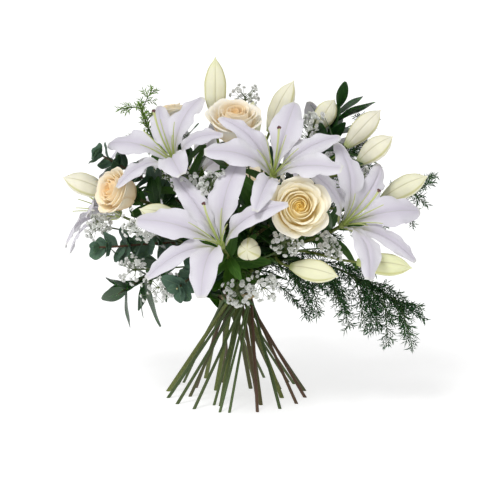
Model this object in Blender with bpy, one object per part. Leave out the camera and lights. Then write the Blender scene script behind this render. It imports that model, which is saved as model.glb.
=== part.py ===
"""A hand-tied bouquet of lilies, roses and mixed foliage that stands on its splayed cut stems.

Every place is in millimetres from the middle of the bundle of stems, on the surface that it
stands on, with X to the right, Y to the back and Z up. A mesh is moved by BUNDLE and turned
into metres when it is made, so that the whole bouquet is centred on the origin.

Each node is one closed solid. Leaves, petals, needles and florets are drawn out of the side
faces of the stem or core that they grow from, and bent or left out where they would cross
another node.
"""

import math
import random

import bpy
import numpy as np
from mathutils.bvhtree import BVHTree

MM = 0.001
BUNDLE = (-19.4, 11.6, 0.0)
GAP = 0.35

# The spiral bundle: three rings of stems round the waist, where the tie holds them.
WAIST_HEIGHT = 130.0
STRAIGHT_ABOVE_WAIST = 18.0
RING_RADII = {1: 6.1, 2: 12.45, 3: 18.4}
RING_SLOPES = {1: 0.24, 2: 0.45, 3: 0.66}
LILY_STEM = 5.6
ROSE_STEM = 5.2
SPRIG_STEM = 4.2
THIN_STEM = 3.6
PAIR_ANGLE = 3.9
PAIR_WIDTH = 1.6
PEDICEL = 4.0
TWIG = 2.4
ROOT_CLEAR = 0.6
CURVE_POINTS = 25
FORK_POINTS = 4
RELAX_ROUNDS = 70
MORE_ROUNDS = 15
SETTLE_TRIES = 16
CLEARANCE = 1.3
CLEARANCE_STEP = 0.4

TIE_HEIGHT = 10.0
TIE_THICKNESS = 1.8
TIE_SIDES = 16

# Lilies: base, direction it faces, tepal length, and the clock angle of each tepal, in degrees
# from the top, seen from the front. Broad and narrow tepals alternate.
LILIES = {
    "lily_1": ((-17, -125, 217), (-0.30, -0.69, 0.66), 112, (8, 64, 170, 220, 270, 320)),
    "lily_2": ((44, -85, 294), (0.10, -0.65, 0.75), 100, (22, 70, 118, 204, 276, 328)),
    "lily_3": ((128, -72, 232), (0.58, -0.63, 0.52), 105, (98, 148, 202, 308, 0, 50)),
    "lily_4": ((-74, -34, 300), (-0.40, -0.45, 0.80), 92, (5, 62, 125, 195, 258, 318)),
    "lily_5": ((-146, 40, 222), (-0.88, 0.10, 0.46), 92, (10, 70, 130, 190, 250, 310)),
    "lily_6": ((96, 104, 262), (0.50, 0.72, 0.48), 98, (0, 60, 120, 180, 240, 300)),
    "lily_7": ((-52, 122, 250), (-0.30, 0.84, 0.45), 98, (30, 90, 150, 210, 270, 330)),
}
TEPAL_WIDTHS = (41.0, 29.0)
TEPAL_THICKNESS = 1.2
TEPAL_ANGLES = (26, 40, 66, 90, 104)
TEPAL_ROWS = (0.12, 0.32, 0.56, 0.80, 1.0)
TEPAL_COLUMNS = (-1.0, 0.0, 1.0)
TEPAL_CUPS = (0.34, 0.16)
TEPAL_LEVELS = (6.0, 1.2)
THROAT_RADIUS = 5.0
THROAT_HEIGHT = 7.0
# Ways to bend a tepal clear of its neighbours: tip angle in degrees, sideways in millimetres,
# and share of the full length.
TEPAL_BENDS = (
    (0, 0, 1.0), (0, 9, 1.0), (0, -9, 1.0), (14, 0, 1.0), (-16, 0, 1.0), (0, 18, 1.0),
    (0, -18, 1.0), (-16, 12, 1.0), (-16, -12, 1.0), (14, 12, 1.0), (14, -12, 1.0),
    (-30, 0, 1.0), (28, 0, 1.0), (-30, 16, 0.92), (-30, -16, 0.92), (0, 26, 0.92),
    (0, -26, 0.92), (-42, 0, 0.9), (-42, 18, 0.86), (-42, -18, 0.86), (28, 18, 0.86),
    (28, -18, 0.86), (-20, 0, 0.74), (0, 20, 0.74), (0, -20, 0.74), (-50, 0, 0.7),
)

# Buds: base and tip.
BUDS = {
    "bud_1": ((-26, -8, 352), (-26, -12, 434)),
    "bud_2": ((41, 2, 335), (72, 4, 402)),
    "bud_3": ((-160, -6, 259), (-217, -14, 282)),
    "bud_4": ((-64, -90, 237), (-119, -112, 262)),
    "bud_5": ((136, 6, 316), (181, 20, 362)),
    "bud_6": ((150, -22, 300), (194, -26, 336)),
    "bud_7": ((180, -10, 252), (239, -14, 284)),
    "bud_8": ((147, -88, 190), (216, -104, 186)),
    "bud_9": ((66, -112, 190), (124, -150, 186)),
    "bud_10": ((19, -104, 209), (12, -166, 222)),
    "bud_11": ((100, 44, 330), (124, 52, 370)),
    "bud_12": ((14, 112, 300), (22, 168, 350)),
}
BUD_WIDTH = 27.0
BUD_PROFILE = ((0.0, 0.26), (0.12, 0.56), (0.36, 0.96), (0.62, 1.0), (0.84, 0.66), (0.97, 0.2))
BUD_SIDES = 6

# Roses: base, direction it faces, radius.
ROSES = {
    "rose_1": ((70, -98, 257), (0.12, -0.95, 0.29), 39.0),
    "rose_2": ((-4, -32, 331), (0.06, -0.45, 0.89), 35.0),
    "rose_3": ((-128, -42, 262), (-0.76, -0.55, 0.36), 31.0),
    "rose_4": ((-78, 36, 326), (-0.20, 0.10, 0.97), 28.0),
    "rose_5": ((26, 96, 240), (0.10, 0.92, 0.38), 33.0),
}
# Petal layers of a rose, from the outside in: clock angles, petal length as a share of the
# rose's radius, half width in degrees, angles from the axis along the petal, and columns.
ROSE_LAYERS = (
    ((0, 72, 144, 216, 288), 1.40, 34, (84, 40, 10, 16, 80), 3),
    ((30, 150, 270), 1.35, 54, (68, 24, 4, 4, 30), 4),
    ((90, 210, 330), 1.15, 54, (50, 14, 0, -4, -10), 4),
)
ROSE_CORE = ((0.0, 0.20), (0.10, 0.23), (0.20, 0.25), (0.31, 0.27), (0.70, 0.30), (1.16, 0.12))
ROSE_ROWS = (0.30, 0.66, 1.0)
PETAL_THICKNESS = 1.2

# Lily stems: ring at the waist, the head that the stem ends in, then the heads on its side
# branches, with the share of the curve at which each one leaves.
LILY_STEMS = {
    "lily_stem_1": (3, "lily_1", (("bud_4", 0.40), ("bud_10", 0.52))),
    "lily_stem_2": (1, "lily_2", (("bud_1", 0.46), ("bud_2", 0.58))),
    "lily_stem_3": (3, "lily_3", (("bud_9", 0.30), ("bud_8", 0.42))),
    "lily_stem_4": (2, "lily_4", (("lily_5", 0.34), ("bud_3", 0.46))),
    "lily_stem_5": (1, "bud_5", (("bud_7", 0.42), ("bud_11", 0.54), ("bud_6", 0.66))),
    "lily_stem_6": (2, "lily_7", (("lily_6", 0.30), ("bud_12", 0.46))),
}
ROSE_RINGS = {"rose_1": 2, "rose_2": 1, "rose_3": 2, "rose_4": 1, "rose_5": 2}

# Sprays: ring, tip of the stem, direction of the tip.
EUCALYPTUS = {
    "eucalyptus_1": (3, (-172, -14, 312), (-0.85, -0.1, 0.5)),
    "eucalyptus_2": (3, (-172, -62, 203), (-0.95, -0.25, 0.05)),
    "eucalyptus_3": (3, (-72, -128, 166), (-0.45, -0.85, -0.2)),
    "eucalyptus_4": (2, (66, 24, 352), (0.3, 0.1, 0.95)),
    "eucalyptus_5": (3, (60, 158, 214), (0.3, 0.9, 0.2)),
}
LEAF_SPRAYS = {
    "leaves_1": (2, (132, 52, 372), (0.2, 0.1, 0.97)),
    "leaves_2": (3, (-146, -56, 142), (-0.8, -0.3, -0.5)),
}
FERNS = {
    "fern_1": (3, (-122, 34, 366), (-0.4, 0.1, 0.9)),
    "fern_2": (3, (166, 34, 330), (0.6, 0.2, 0.75)),
    "fern_3": (3, (206, -62, 128), (0.8, -0.2, -0.55)),
    "fern_4": (3, (236, 24, 262), (0.95, 0.1, 0.25)),
}
# Gypsophila, two stems in each node: the middles of the clouds of florets on each stem. One
# node's stems are in the middle ring, and the rest in the outer one.
HIGH_GYPSOPHILA = "gypsophila_1"
GYPSOPHILA = {
    "gypsophila_1": (((11, 18, 378),), ((98, 18, 344), (156, -44, 282))),
    "gypsophila_2": (((-58, -92, 292), (-30, -118, 292)), ((-122, -98, 240),)),
    "gypsophila_3": (((-178, -38, 228),), ((-96, -106, 162), (-128, -70, 176))),
    "gypsophila_4": (((34, -128, 166), (0, -132, 160)), ((116, -110, 214), (60, -128, 224))),
    "gypsophila_5": (((140, 90, 296),), ((-10, 132, 290), (-110, 110, 270))),
}

# Leaves along a stem: length, width, bow, share of the stem where they start, spacing, how
# many at one height, and the shares of the leaf's length that its mesh has a row at.
ROUND_LEAF = dict(length=27, width=25, bow=0.15, first=0.60, spacing=28, pair=2, rows=(0.24, 0.58, 0.94))
BLADE_LEAF = dict(length=66, width=18, bow=0.25, first=0.56, spacing=28, pair=1, rows=(0.2, 0.5, 0.8, 1.0))
LILY_LEAF = dict(length=58, width=13, bow=0.35, first=0.42, spacing=54, pair=1, rows=(0.25, 0.6, 1.0))
ROSE_LEAF = dict(length=38, width=24, bow=0.2, first=0.64, spacing=34, pair=1, rows=(0.25, 0.6, 1.0))
LEAF_THICKNESS = 0.8
FERN_BRANCHES = 6
FERN_BRANCH_LENGTH = 64.0
NEEDLE = 12.0
NEEDLE_SPACING = 8.0
FLORET = 3.0
FLORETS = 6
CLOUD_NODES = 2

COLOURS = {
    "lily": (0.86, 0.85, 0.88),
    "bud": (0.86, 0.85, 0.66),
    "rose": (0.93, 0.84, 0.62),
    "centre": (0.42, 0.50, 0.14),
    "stem": (0.16, 0.24, 0.06),
    "eucalyptus": (0.13, 0.24, 0.18),
    "leaves": (0.04, 0.11, 0.03),
    "fern": (0.09, 0.22, 0.05),
    "gypsophila": (0.80, 0.82, 0.78),
    "tie": (0.55, 0.47, 0.30),
}


# Vectors and curves.

def unit(vector):
    vector = np.asarray(vector, float)
    return vector / np.linalg.norm(vector)


def facing(axis):
    """Unit vectors: the axis, and up and right across it as seen by someone it faces."""
    axis = unit(axis)
    level = np.array((0.0, 0.0, 1.0)) if abs(axis[2]) < 0.97 else np.array((0.0, 1.0, 0.0))
    up = unit(level - axis * (level @ axis))
    return axis, up, np.cross(up, axis)


def clock_direction(axis, degrees):
    """The direction across the axis at this clock angle, and the one a quarter turn before it."""
    _, up, right = facing(axis)
    turn = math.radians(degrees)
    out = up * math.cos(turn) + right * math.sin(turn)
    return out, up * math.sin(turn) - right * math.cos(turn)


def bezier(start, leave, arrive, end, count):
    t = np.linspace(0, 1, count)[:, None]
    s = 1 - t
    return s**3 * start + 3 * s * s * t * leave + 3 * s * t * t * arrive + t**3 * end


class Curve:
    """Points joined up, measured by the distance along them."""

    def __init__(self, points):
        self.points = np.asarray(points, float)
        steps = np.linalg.norm(np.diff(self.points, axis=0), axis=1)
        self.places = np.concatenate([[0], np.cumsum(steps)])
        self.length = self.places[-1]

    def at(self, place):
        return np.array([np.interp(place, self.places, self.points[:, k]) for k in range(3)])

    def direction(self, place):
        low, high = max(place - 2, 0), min(place + 2, self.length)
        return unit(self.at(high) - self.at(low))

    def distance_to(self, point):
        start, step = self.points[:-1], np.diff(self.points, axis=0)
        share = ((point - start) * step).sum(axis=1) / (step * step).sum(axis=1)
        nearest = start + np.clip(share, 0, 1)[:, None] * step
        return np.linalg.norm(nearest - point, axis=1).min()


# Growing solids.

def joined(loop, fresh, columns):
    """Triangles between two rings of points, split alike on the two faces of a blade."""
    faces = []
    size = len(loop)
    for i in range(size):
        a, b = loop[i], loop[(i + 1) % size]
        c, d = fresh[(i + 1) % size], fresh[i]
        if columns <= i < 2 * columns - 1:
            faces += [(a, b, d), (b, c, d)]
        else:
            faces += [(a, b, c), (a, c, d)]
    return faces


def fanned(quad, fresh, columns):
    """Triangles from a four-sided face to the first ring of a blade with this many columns."""
    a, b, c, d = quad
    low, high = fresh[:columns], fresh[columns:]
    middle = columns // 2
    faces = [(a, b, low[middle]), (c, d, high[middle])]
    for j in range(columns - 1):
        faces.append((a if j < middle else b, low[j + 1], low[j]))
        faces.append((c if j < middle else d, high[j + 1], high[j]))
    faces += [(b, c, high[0]), (b, high[0], low[-1])]
    faces += [(d, a, low[0]), (d, low[0], high[-1])]
    return faces


def capped(loop, columns):
    """Triangles that close the last ring of a blade."""
    faces = []
    for j in range(columns - 1):
        a, b = loop[j], loop[j + 1]
        c, d = loop[2 * columns - 2 - j], loop[2 * columns - 1 - j]
        faces += [(a, b, c), (a, c, d)]
    return faces


def square_ring(centre, direction, across, half):
    """Four points round a centre, in the order of a side face's corners."""
    across = unit(across - direction * (across @ direction))
    over = np.cross(direction, across)
    corners = ((-half, -half), (half, -half), (half, half), (-half, half))
    return np.array([centre + across * x + over * y for x, y in corners])


class Solid:
    """A closed solid that starts as a tube. Its side faces can be drawn out further."""

    def __init__(self, curve, places, radii, sides, level_start=False, spin=0.0):
        self.points = []
        self.faces = []
        self.sides = {}
        side = facing(curve.direction(0))[1]
        loops = []
        for row, (place, radius) in enumerate(zip(places, radii)):
            direction = curve.direction(place)
            side = unit(side - direction * (side @ direction))
            other = np.cross(direction, side)
            turns = spin + np.arange(sides) * 2 * math.pi / sides
            ring = curve.at(place) + radius * (
                np.cos(turns)[:, None] * side + np.sin(turns)[:, None] * other
            )
            if level_start and row == 0:
                ring = ring - direction * ((ring[:, 2] - curve.at(0)[2]) / direction[2])[:, None]
            loops.append(self.add(ring))
        for row in range(len(loops) - 1):
            self.open_sides("stem", row, loops[row], loops[row + 1])
        for k in range(1, sides - 1):
            self.faces.append((loops[0][0], loops[0][k + 1], loops[0][k]))
            self.faces.append((loops[-1][0], loops[-1][k], loops[-1][k + 1]))

    def add(self, ring):
        start = len(self.points)
        self.points.extend(np.asarray(ring, float))
        return list(range(start, len(self.points)))

    def open_sides(self, part, row, low, high):
        """Side faces that can still be drawn out, each with its corners anticlockwise."""
        size = len(low)
        for k in range(size):
            following = (k + 1) % size
            self.sides[part, row, k] = (low[k], low[following], high[following], high[k])

    def corners(self, key):
        return np.array([self.points[i] for i in self.sides[key]])

    def outward(self, key):
        a, b, c, d = self.corners(key)
        return unit(np.cross(c - a, d - b))

    def side_towards(self, part, row, direction):
        """The side face of this row that looks most in this direction, if any is left."""
        keys = [key for key in self.sides if key[0] == part and key[1] == row]
        if not keys:
            return None
        return max(keys, key=lambda key: self.outward(key) @ direction)

    def draw_out(self, key, rings, columns, tip=None):
        """Draws a side face out through rings of points into a blade, or to a point."""
        loop = list(self.sides.pop(key))
        for number, ring in enumerate(rings):
            fresh = self.add(ring)
            if number == 0 and len(fresh) != len(loop):
                self.faces += fanned(loop, fresh, columns)
            else:
                self.faces += joined(loop, fresh, columns)
            loop = fresh
        if tip is None:
            self.faces += capped(loop, columns)
            return
        end = self.add([tip])[0]
        for i in range(len(loop)):
            self.faces.append((loop[i], loop[(i + 1) % len(loop)], end))

    def branch(self, key, part, rings):
        """Draws a side face out into a four-sided branch, whose own sides stay open."""
        loop = list(self.sides.pop(key))
        for row, ring in enumerate(rings):
            fresh = self.add(ring)
            self.open_sides(part, row, loop, fresh)
            loop = fresh
        self.faces += capped(loop, 2)

    def closed(self):
        faces = list(self.faces)
        for a, b, c, d in self.sides.values():
            faces += [(a, b, c), (a, c, d)]
        return np.array(self.points), faces


def trial(rings, columns, tip=None):
    """What the rings of a blade or twig would fill, as a closed shape to test for clearance."""
    points = [point for ring in rings for point in ring]
    size = len(rings[0])
    loops = [list(range(i * size, (i + 1) * size)) for i in range(len(rings))]
    faces = [face[::-1] for face in capped(loops[0], columns)]
    for low, high in zip(loops, loops[1:]):
        faces += joined(low, high, columns)
    if tip is None:
        faces += capped(loops[-1], columns)
    else:
        points.append(tip)
        faces += [(loops[-1][i], loops[-1][(i + 1) % size], len(points) - 1) for i in range(size)]
    return np.array(points), faces


def blade_rings(surface, rows, columns, thickness):
    """Rings of points about the thin surface(q, c), one at each row."""
    q, c = np.meshgrid(np.array(rows, float), np.array(columns, float), indexing="ij")
    step = 0.004
    middle = surface(q, c)
    outward = surface(np.minimum(q + step, 1), c) - surface(q - step, c)
    over = surface(q, c + step) - surface(q, c - step)
    normal = np.cross(outward, over)
    normal /= np.linalg.norm(normal, axis=-1, keepdims=True)
    upper = middle + normal * thickness / 2
    under = middle - normal * thickness / 2
    return [np.concatenate([under[i], upper[i][::-1]]) for i in range(len(rows))]


# What a new leaf, petal, needle or floret has to keep clear of.

class Surroundings:
    def __init__(self):
        self.owners = []
        self.trees = []
        self.boxes = np.zeros((0, 6))

    def add(self, owner, solid):
        points, faces = solid
        self.owners.append(owner)
        self.trees.append(BVHTree.FromPolygons([tuple(p) for p in points], faces))
        box = np.concatenate([points.min(axis=0), points.max(axis=0)])
        self.boxes = np.concatenate([self.boxes, box[None]])

    def clear(self, solid, own=None):
        """Whether the solid, swollen by the gap, crosses nothing but what it grows from."""
        points, faces = solid
        points = swollen(points, faces)
        low, high = points.min(axis=0), points.max(axis=0)
        near = ((self.boxes[:, :3] < high) & (self.boxes[:, 3:] > low)).all(axis=1)
        if not near.any():
            return True
        tree = BVHTree.FromPolygons([tuple(p) for p in points], faces)
        return not any(
            self.owners[i] != own and tree.overlap(self.trees[i]) for i in np.nonzero(near)[0]
        )


def swollen(points, faces):
    points = np.asarray(points, float)
    corners = np.array(faces)
    a, b, c = (points[corners[:, i]] for i in range(3))
    turn = np.cross(b - a, c - a)
    normals = np.zeros_like(points)
    for i in range(3):
        np.add.at(normals, corners[:, i], turn)
    lengths = np.linalg.norm(normals, axis=1, keepdims=True)
    return points + normals / np.maximum(lengths, 1e-9) * GAP * 1.3


# The bundle of stems.

def waist_line(ring, azimuth, radius):
    """The point and direction of a straight stem at the waist, in this ring of the spiral.

    The thicker stems of the outer ring sit a little further in, so that all meet the tie.
    """
    inset = radius - SPRIG_STEM / 2 if ring == 3 else 0.0
    turn = math.radians(azimuth)
    outward = np.array((math.cos(turn), math.sin(turn), 0.0))
    along = np.array((-math.sin(turn), math.cos(turn), 0.0))
    direction = unit(along * RING_SLOPES[ring] + np.array((0.0, 0.0, 1.0)))
    return outward * (RING_RADII[ring] - inset) + np.array((0.0, 0.0, WAIST_HEIGHT)), direction


def head_place(head):
    """Where a stem meets a head, and the direction in which it does."""
    if head in LILIES:
        return np.array(LILIES[head][0], float), unit(LILIES[head][1])
    base, tip = (np.array(p, float) for p in BUDS[head])
    return base, unit(tip - base)


def stem_plan():
    """Every stem as name, ring, radius, top and direction of its top."""
    plan = []
    for name, (ring, head, _) in LILY_STEMS.items():
        plan.append((name, ring, LILY_STEM / 2, *head_place(head)))
    for name, (base, direction, _) in ROSES.items():
        plan.append((name + "_stem", ROSE_RINGS[name], ROSE_STEM / 2, base, direction))
    for name, (ring, tip, direction) in {**EUCALYPTUS, **LEAF_SPRAYS, **FERNS}.items():
        plan.append((name, ring, SPRIG_STEM / 2, tip, direction))
    for name, stems in GYPSOPHILA.items():
        for number, clouds in enumerate(stems):
            middle = np.array(clouds[0], float)
            outward = unit(middle - (0, 0, WAIST_HEIGHT + 40))
            ring = 2 if name == HIGH_GYPSOPHILA else 3
            plan.append((f"{name}:{number}", ring, THIN_STEM / 2, middle, outward))
    return plan


def waist_azimuths(plan):
    """Shares each ring out among its stems, in the order of their heads, with pairs together."""
    azimuths = {}
    for ring in RING_RADII:
        groups = {}
        for name, at, _, top, _ in plan:
            if at == ring:
                azimuth = math.degrees(math.atan2(top[1], top[0])) % 360
                groups.setdefault(name.split(":")[0], []).append((azimuth, name))
        slots = [(np.mean([turn for turn, _ in group]), sorted(group)) for group in groups.values()]
        slots.sort()
        widths = np.array([PAIR_WIDTH if len(group) == 2 else 1.0 for _, group in slots])
        centres = (np.cumsum(widths) - widths / 2) * 360 / widths.sum()
        lead = np.mean([azimuth for azimuth, _ in slots] - centres)
        for centre, (_, group) in zip(centres, slots):
            offsets = (-PAIR_ANGLE, PAIR_ANGLE) if len(group) == 2 else (0.0,)
            for offset, (_, name) in zip(offsets, group):
                azimuths[name] = lead + centre + offset - 90
    return azimuths


def rising_curve(start, along, end, direction):
    """A smooth curve that leaves in one direction and arrives in another."""
    reach = np.linalg.norm(end - start) * 0.38
    return bezier(start, start + along * reach, end - unit(direction) * reach, end, CURVE_POINTS)


def stem_curves():
    """For each stem and branch: its foot, points above the shoulder, radius and parent."""
    plan = stem_plan()
    azimuths = waist_azimuths(plan)
    feet, curves, radii, parents = {}, {}, {}, {}
    for name, ring, radius, top, direction in plan:
        waist, along = waist_line(ring, azimuths[name], radius)
        feet[name] = waist - along * waist[2] / along[2]
        shoulder = waist + along * STRAIGHT_ABOVE_WAIST / along[2]
        end = np.asarray(top, float) - unit(direction) * GAP
        curves[name] = rising_curve(shoulder, along, end, direction)
        radii[name] = radius
    for name, (_, _, branches) in LILY_STEMS.items():
        for head, share in branches:
            base, direction = head_place(head)
            key = f"{name}>{head}"
            parents[key] = (name, round(share * (CURVE_POINTS - 1)))
            add_branch(key, curves, parents, base - direction * GAP, direction)
            radii[key] = PEDICEL / 2
    for name, stems in GYPSOPHILA.items():
        for number, clouds in enumerate(stems):
            for cloud in clouds[1:]:
                parent = f"{name}:{number}"
                key = f"{parent}>cloud"
                parents[key] = (parent, 10)
                end = np.array(cloud, float)
                add_branch(key, curves, parents, end, end - curves[parent][10])
                radii[key] = TWIG / 2
    return feet, curves, radii, parents


def add_branch(key, curves, parents, end, direction):
    parent, index = parents[key]
    start = curves[parent][index]
    along = unit(curves[parent][index + 1] - curves[parent][index - 1])
    curves[key] = rising_curve(start, unit(along + unit(end - start)), end, direction)


def head_spheres():
    """Round stand-ins for the heads, as owner, middle and radius, which stems bend round."""
    spheres = []
    for name, (base, axis, _, _) in LILIES.items():
        base, axis = np.array(base, float), unit(axis)
        spheres += [(name, base + axis * 8, 9.0), (name, base + axis * 24, 17.0)]
    for name, (base, axis, radius) in ROSES.items():
        base, axis = np.array(base, float), unit(axis)
        spheres.append((name, base + axis * radius * 0.75, radius * 1.05))
    for name, (base, tip) in BUDS.items():
        base, tip = np.array(base, float), np.array(tip, float)
        for share, size in ((0.25, 0.42), (0.5, 0.52), (0.75, 0.42)):
            spheres.append((name, base + (tip - base) * share, BUD_WIDTH * size))
    return spheres


class Bundle:
    """The stems and branches as rows of points, which are pushed apart smoothly."""

    def __init__(self, curves, radii, parents):
        self.names = list(curves)
        self.number = {name: index for index, name in enumerate(self.names)}
        self.parents = parents
        self.home = np.stack([curves[name] for name in self.names])
        self.shift = np.zeros_like(self.home)
        thick = np.array([radii[name] for name in self.names])
        spheres = head_spheres()
        self.middles = np.array([middle for _, middle, _ in spheres])
        count = len(self.names)
        need = thick[:, None, None, None] + thick[:, None] + CLEARANCE
        self.stem_need = np.tile(need, (1, CURVE_POINTS, 1, CURVE_POINTS))
        self.head_need = thick[:, None] + np.array([size for _, _, size in spheres]) + 1.0
        self.stem_need[np.arange(count), :, np.arange(count)] = 0
        for key, (parent, _) in parents.items():
            a, b = self.number[key], self.number[parent]
            self.stem_need[a, :FORK_POINTS, b] = self.stem_need[b, :, a, :FORK_POINTS] = 0
        for row, name in enumerate(self.names):
            own = {name.split(">")[-1], name.replace("_stem", "")}
            if name in LILY_STEMS:
                own = {LILY_STEMS[name][1]}
            self.head_need[row, [owner in own for owner, _, _ in spheres]] = 0

    def widen(self, crossing):
        """Keeps the stems of each of these pairs, and their branches, further apart."""
        roots = np.array([name.split(">")[0] for name in self.names])
        for first, second in crossing:
            pairs = np.outer(roots == first, roots == second)
            self.stem_need += CLEARANCE_STEP * (pairs | pairs.T)[:, None, :, None]

    def relax(self, rounds):
        """Bends the curves sideways until stems and heads are as far apart as they need."""
        free = np.ones((1, CURVE_POINTS, 1))
        free[:, :2] = free[:, -2:] = 0
        for _ in range(rounds):
            for key, (parent, index) in self.parents.items():
                self.shift[self.number[key], :2] = self.shift[self.number[parent], index]
            now = self.home + self.shift
            from_stems = now[:, :, None, None, :] - now[None, None]
            from_heads = now[:, :, None, :] - self.middles
            push = pushes(from_stems, self.stem_need).sum(axis=(2, 3)) * 0.5
            push += pushes(from_heads, self.head_need[:, None, :]).sum(axis=2)
            size = np.linalg.norm(push, axis=-1, keepdims=True)
            push *= np.minimum(1, 3.0 / np.maximum(size, 1e-9))
            self.shift += push * free * 0.6
            smooth = self.shift.copy()
            smooth[:, 1:-1] = (self.shift[:, :-2] + 2 * self.shift[:, 1:-1] + self.shift[:, 2:]) / 4
            self.shift = np.where(free > 0, smooth, self.shift)

    def curves(self):
        return dict(zip(self.names, self.home + self.shift))


def pushes(away, need):
    """How far to move points so that none is nearer than it needs to be."""
    distance = np.sqrt((away * away).sum(axis=-1)) + 1e-9
    short = np.maximum(need - distance, 0)
    return away * (short / distance)[..., None]


def crossing_pairs(stems):
    """Names of the stems of different nodes whose solids cross, or all but touch."""
    names = list(stems)
    shapes = [stems[name][0].closed() for name in names]
    fat = [BVHTree.FromPolygons([tuple(p) for p in swollen(*shape)], shape[1]) for shape in shapes]
    thin = [BVHTree.FromPolygons([tuple(p) for p in points], faces) for points, faces in shapes]
    crossing = []
    for i, first in enumerate(names):
        for j in range(i):
            if first.split(":")[0] != names[j].split(":")[0] and fat[i].overlap(thin[j]):
                crossing.append((first, names[j]))
    return crossing


def settled_stems():
    """Every stem with its branches, bent until none crosses another."""
    feet, curves, radii, parents = stem_curves()
    bundle = Bundle(curves, radii, parents)
    bundle.relax(RELAX_ROUNDS)
    for _ in range(SETTLE_TRIES):
        stems = bare_stems(feet, bundle.curves(), radii, parents)
        crossing = crossing_pairs(stems)
        if not crossing:
            break
        bundle.widen(crossing)
        bundle.relax(MORE_ROUNDS)
    return stems


def stem_places(curve, straight, spacing, nodes, half):
    """Places of a stem's rings: two close together at each node, where leaves are drawn out."""
    places = [0.0, straight, *np.arange(straight + spacing, curve.length - spacing / 2, spacing)]
    places = [p for p in places if all(abs(p - node) > spacing * 0.45 for node in nodes)]
    for node in nodes:
        places += [node - half, node + half]
    places.append(curve.length)
    return sorted(places)


def stem_solid(foot, points, radius, top_radius, sides, nodes=(), half=1.2, spacing=32):
    """A stem from its level cut end to its top, and the row of side faces at each node."""
    curve = Curve([foot, *points])
    straight = np.linalg.norm(points[0] - foot)
    places = stem_places(curve, straight, spacing, nodes, half)
    radii = [radius + (top_radius - radius) * max(0, place / curve.length) for place in places]
    solid = Solid(curve, places, radii, sides, level_start=True)
    rows = [places.index(node - half) for node in nodes]
    return solid, curve, rows


def add_side_branch(stem, row, part, points, radius, parent_radius, cloud=False):
    """Draws a thinner branch out of a stem, along its own curve."""
    solid, parent_curve = stem
    curve = Curve(points)
    first = 3.0
    while parent_curve.distance_to(curve.at(first)) < radius + parent_radius + 1.2 and first < 30:
        first += 1.0
    places = list(np.linspace(first, curve.length, 6))
    if cloud:
        places = [*np.linspace(first, curve.length - 22, 4), *cloud_places(curve), curve.length]
    sides = [solid.corners(side) for side in solid.sides if side[:2] == ("stem", row)]
    key = solid.side_towards("stem", row, curve.at(first) - np.mean(sides, axis=(0, 1)))
    low, right = solid.corners(key)[:2]
    across = right - low
    rings = []
    for place in places:
        rings.append(square_ring(curve.at(place), curve.direction(place), across, radius * 0.8))
        across = rings[-1][1] - rings[-1][0]
    solid.branch(key, part, rings)


# Blooms.

def arc(q, length, angles):
    """Reach, rise and lean at share q of a centreline that leans from its axis by these angles."""
    steps = np.linspace(0, 1, 161)
    lean = np.radians(np.interp(steps, np.linspace(0, 1, len(angles)), angles))
    middle = (lean[1:] + lean[:-1]) / 2
    reach = np.concatenate([[0], np.cumsum(np.sin(middle))]) * length / 160
    rise = np.concatenate([[0], np.cumsum(np.cos(middle))]) * length / 160
    return np.interp(q, steps, reach), np.interp(q, steps, rise), np.interp(q, steps, lean)


def tepal(base, axis, clock, length, kind, bend, phase):
    """The surface of one lily tepal: a channel at its foot, waved and bent back further out.

    Kind 0 is one of the three broad tepals, and kind 1 one of the narrow ones behind them.
    """
    tip_angle, sideways, share = bend
    width, cup, level = TEPAL_WIDTHS[kind], TEPAL_CUPS[kind], TEPAL_LEVELS[kind]
    axis = unit(axis)
    out, across = clock_direction(axis, clock)
    base = np.asarray(base, float)
    angles = [angle + tip_angle * (k / 4) ** 1.5 for k, angle in enumerate(TEPAL_ANGLES)]

    def surface(q, c):
        reach, rise, lean = arc(q, length * share, angles)
        half = width / 2 * np.sin(math.pi * (0.04 + 0.93 * np.clip(q, 0, 1) ** 0.9)) ** 0.75
        half = np.minimum(half, (0.25 + 0.27 * np.clip(q / 0.34, 0, 1)) * (THROAT_RADIUS + reach))
        wave = 2.4 * np.abs(c) ** 3 * np.sin(15 * q + phase + 1.3 * np.sign(c)) * (4 * q * (1 - q))
        lift = cup * half * c * c * (1 - q) ** 1.4 - 0.30 * half * c * c * q**2 + wave
        lift = lift - 1.1 * np.exp(-((c / 0.16) ** 2)) * (1 - q) ** 0.5
        x = THROAT_RADIUS + reach - np.cos(lean) * lift
        z = level + rise + np.sin(lean) * lift
        y = c * half + sideways * q * q
        return base + x[..., None] * out + z[..., None] * axis + y[..., None] * across

    return surface


def lily_solid(name, around):
    base, axis, length, clocks = LILIES[name]
    base, axis = np.array(base, float), unit(axis)
    curve = Curve([base, base + axis * THROAT_HEIGHT])
    turns = np.degrees(np.unwrap(np.radians(clocks))) - 60 * np.arange(6)
    spin = -math.radians(30 + turns.mean())
    solid = Solid(curve, [0, THROAT_HEIGHT], [THROAT_RADIUS - 0.8, THROAT_RADIUS], 6, spin=spin)
    around.add(name, solid.closed())
    for index, clock in enumerate(clocks):
        key = ("stem", 0, -index % 6)
        for bend in TEPAL_BENDS:
            surface = tepal(base, axis, clock, length, index % 2, bend, 1.7 * index)
            rings = blade_rings(surface, TEPAL_ROWS, TEPAL_COLUMNS, TEPAL_THICKNESS)
            if around.clear(trial(rings, 3), name):
                break
        solid.draw_out(key, rings, 3)
        around.add(f"{name} tepal {index}", trial(rings, 3))
    return solid


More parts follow.
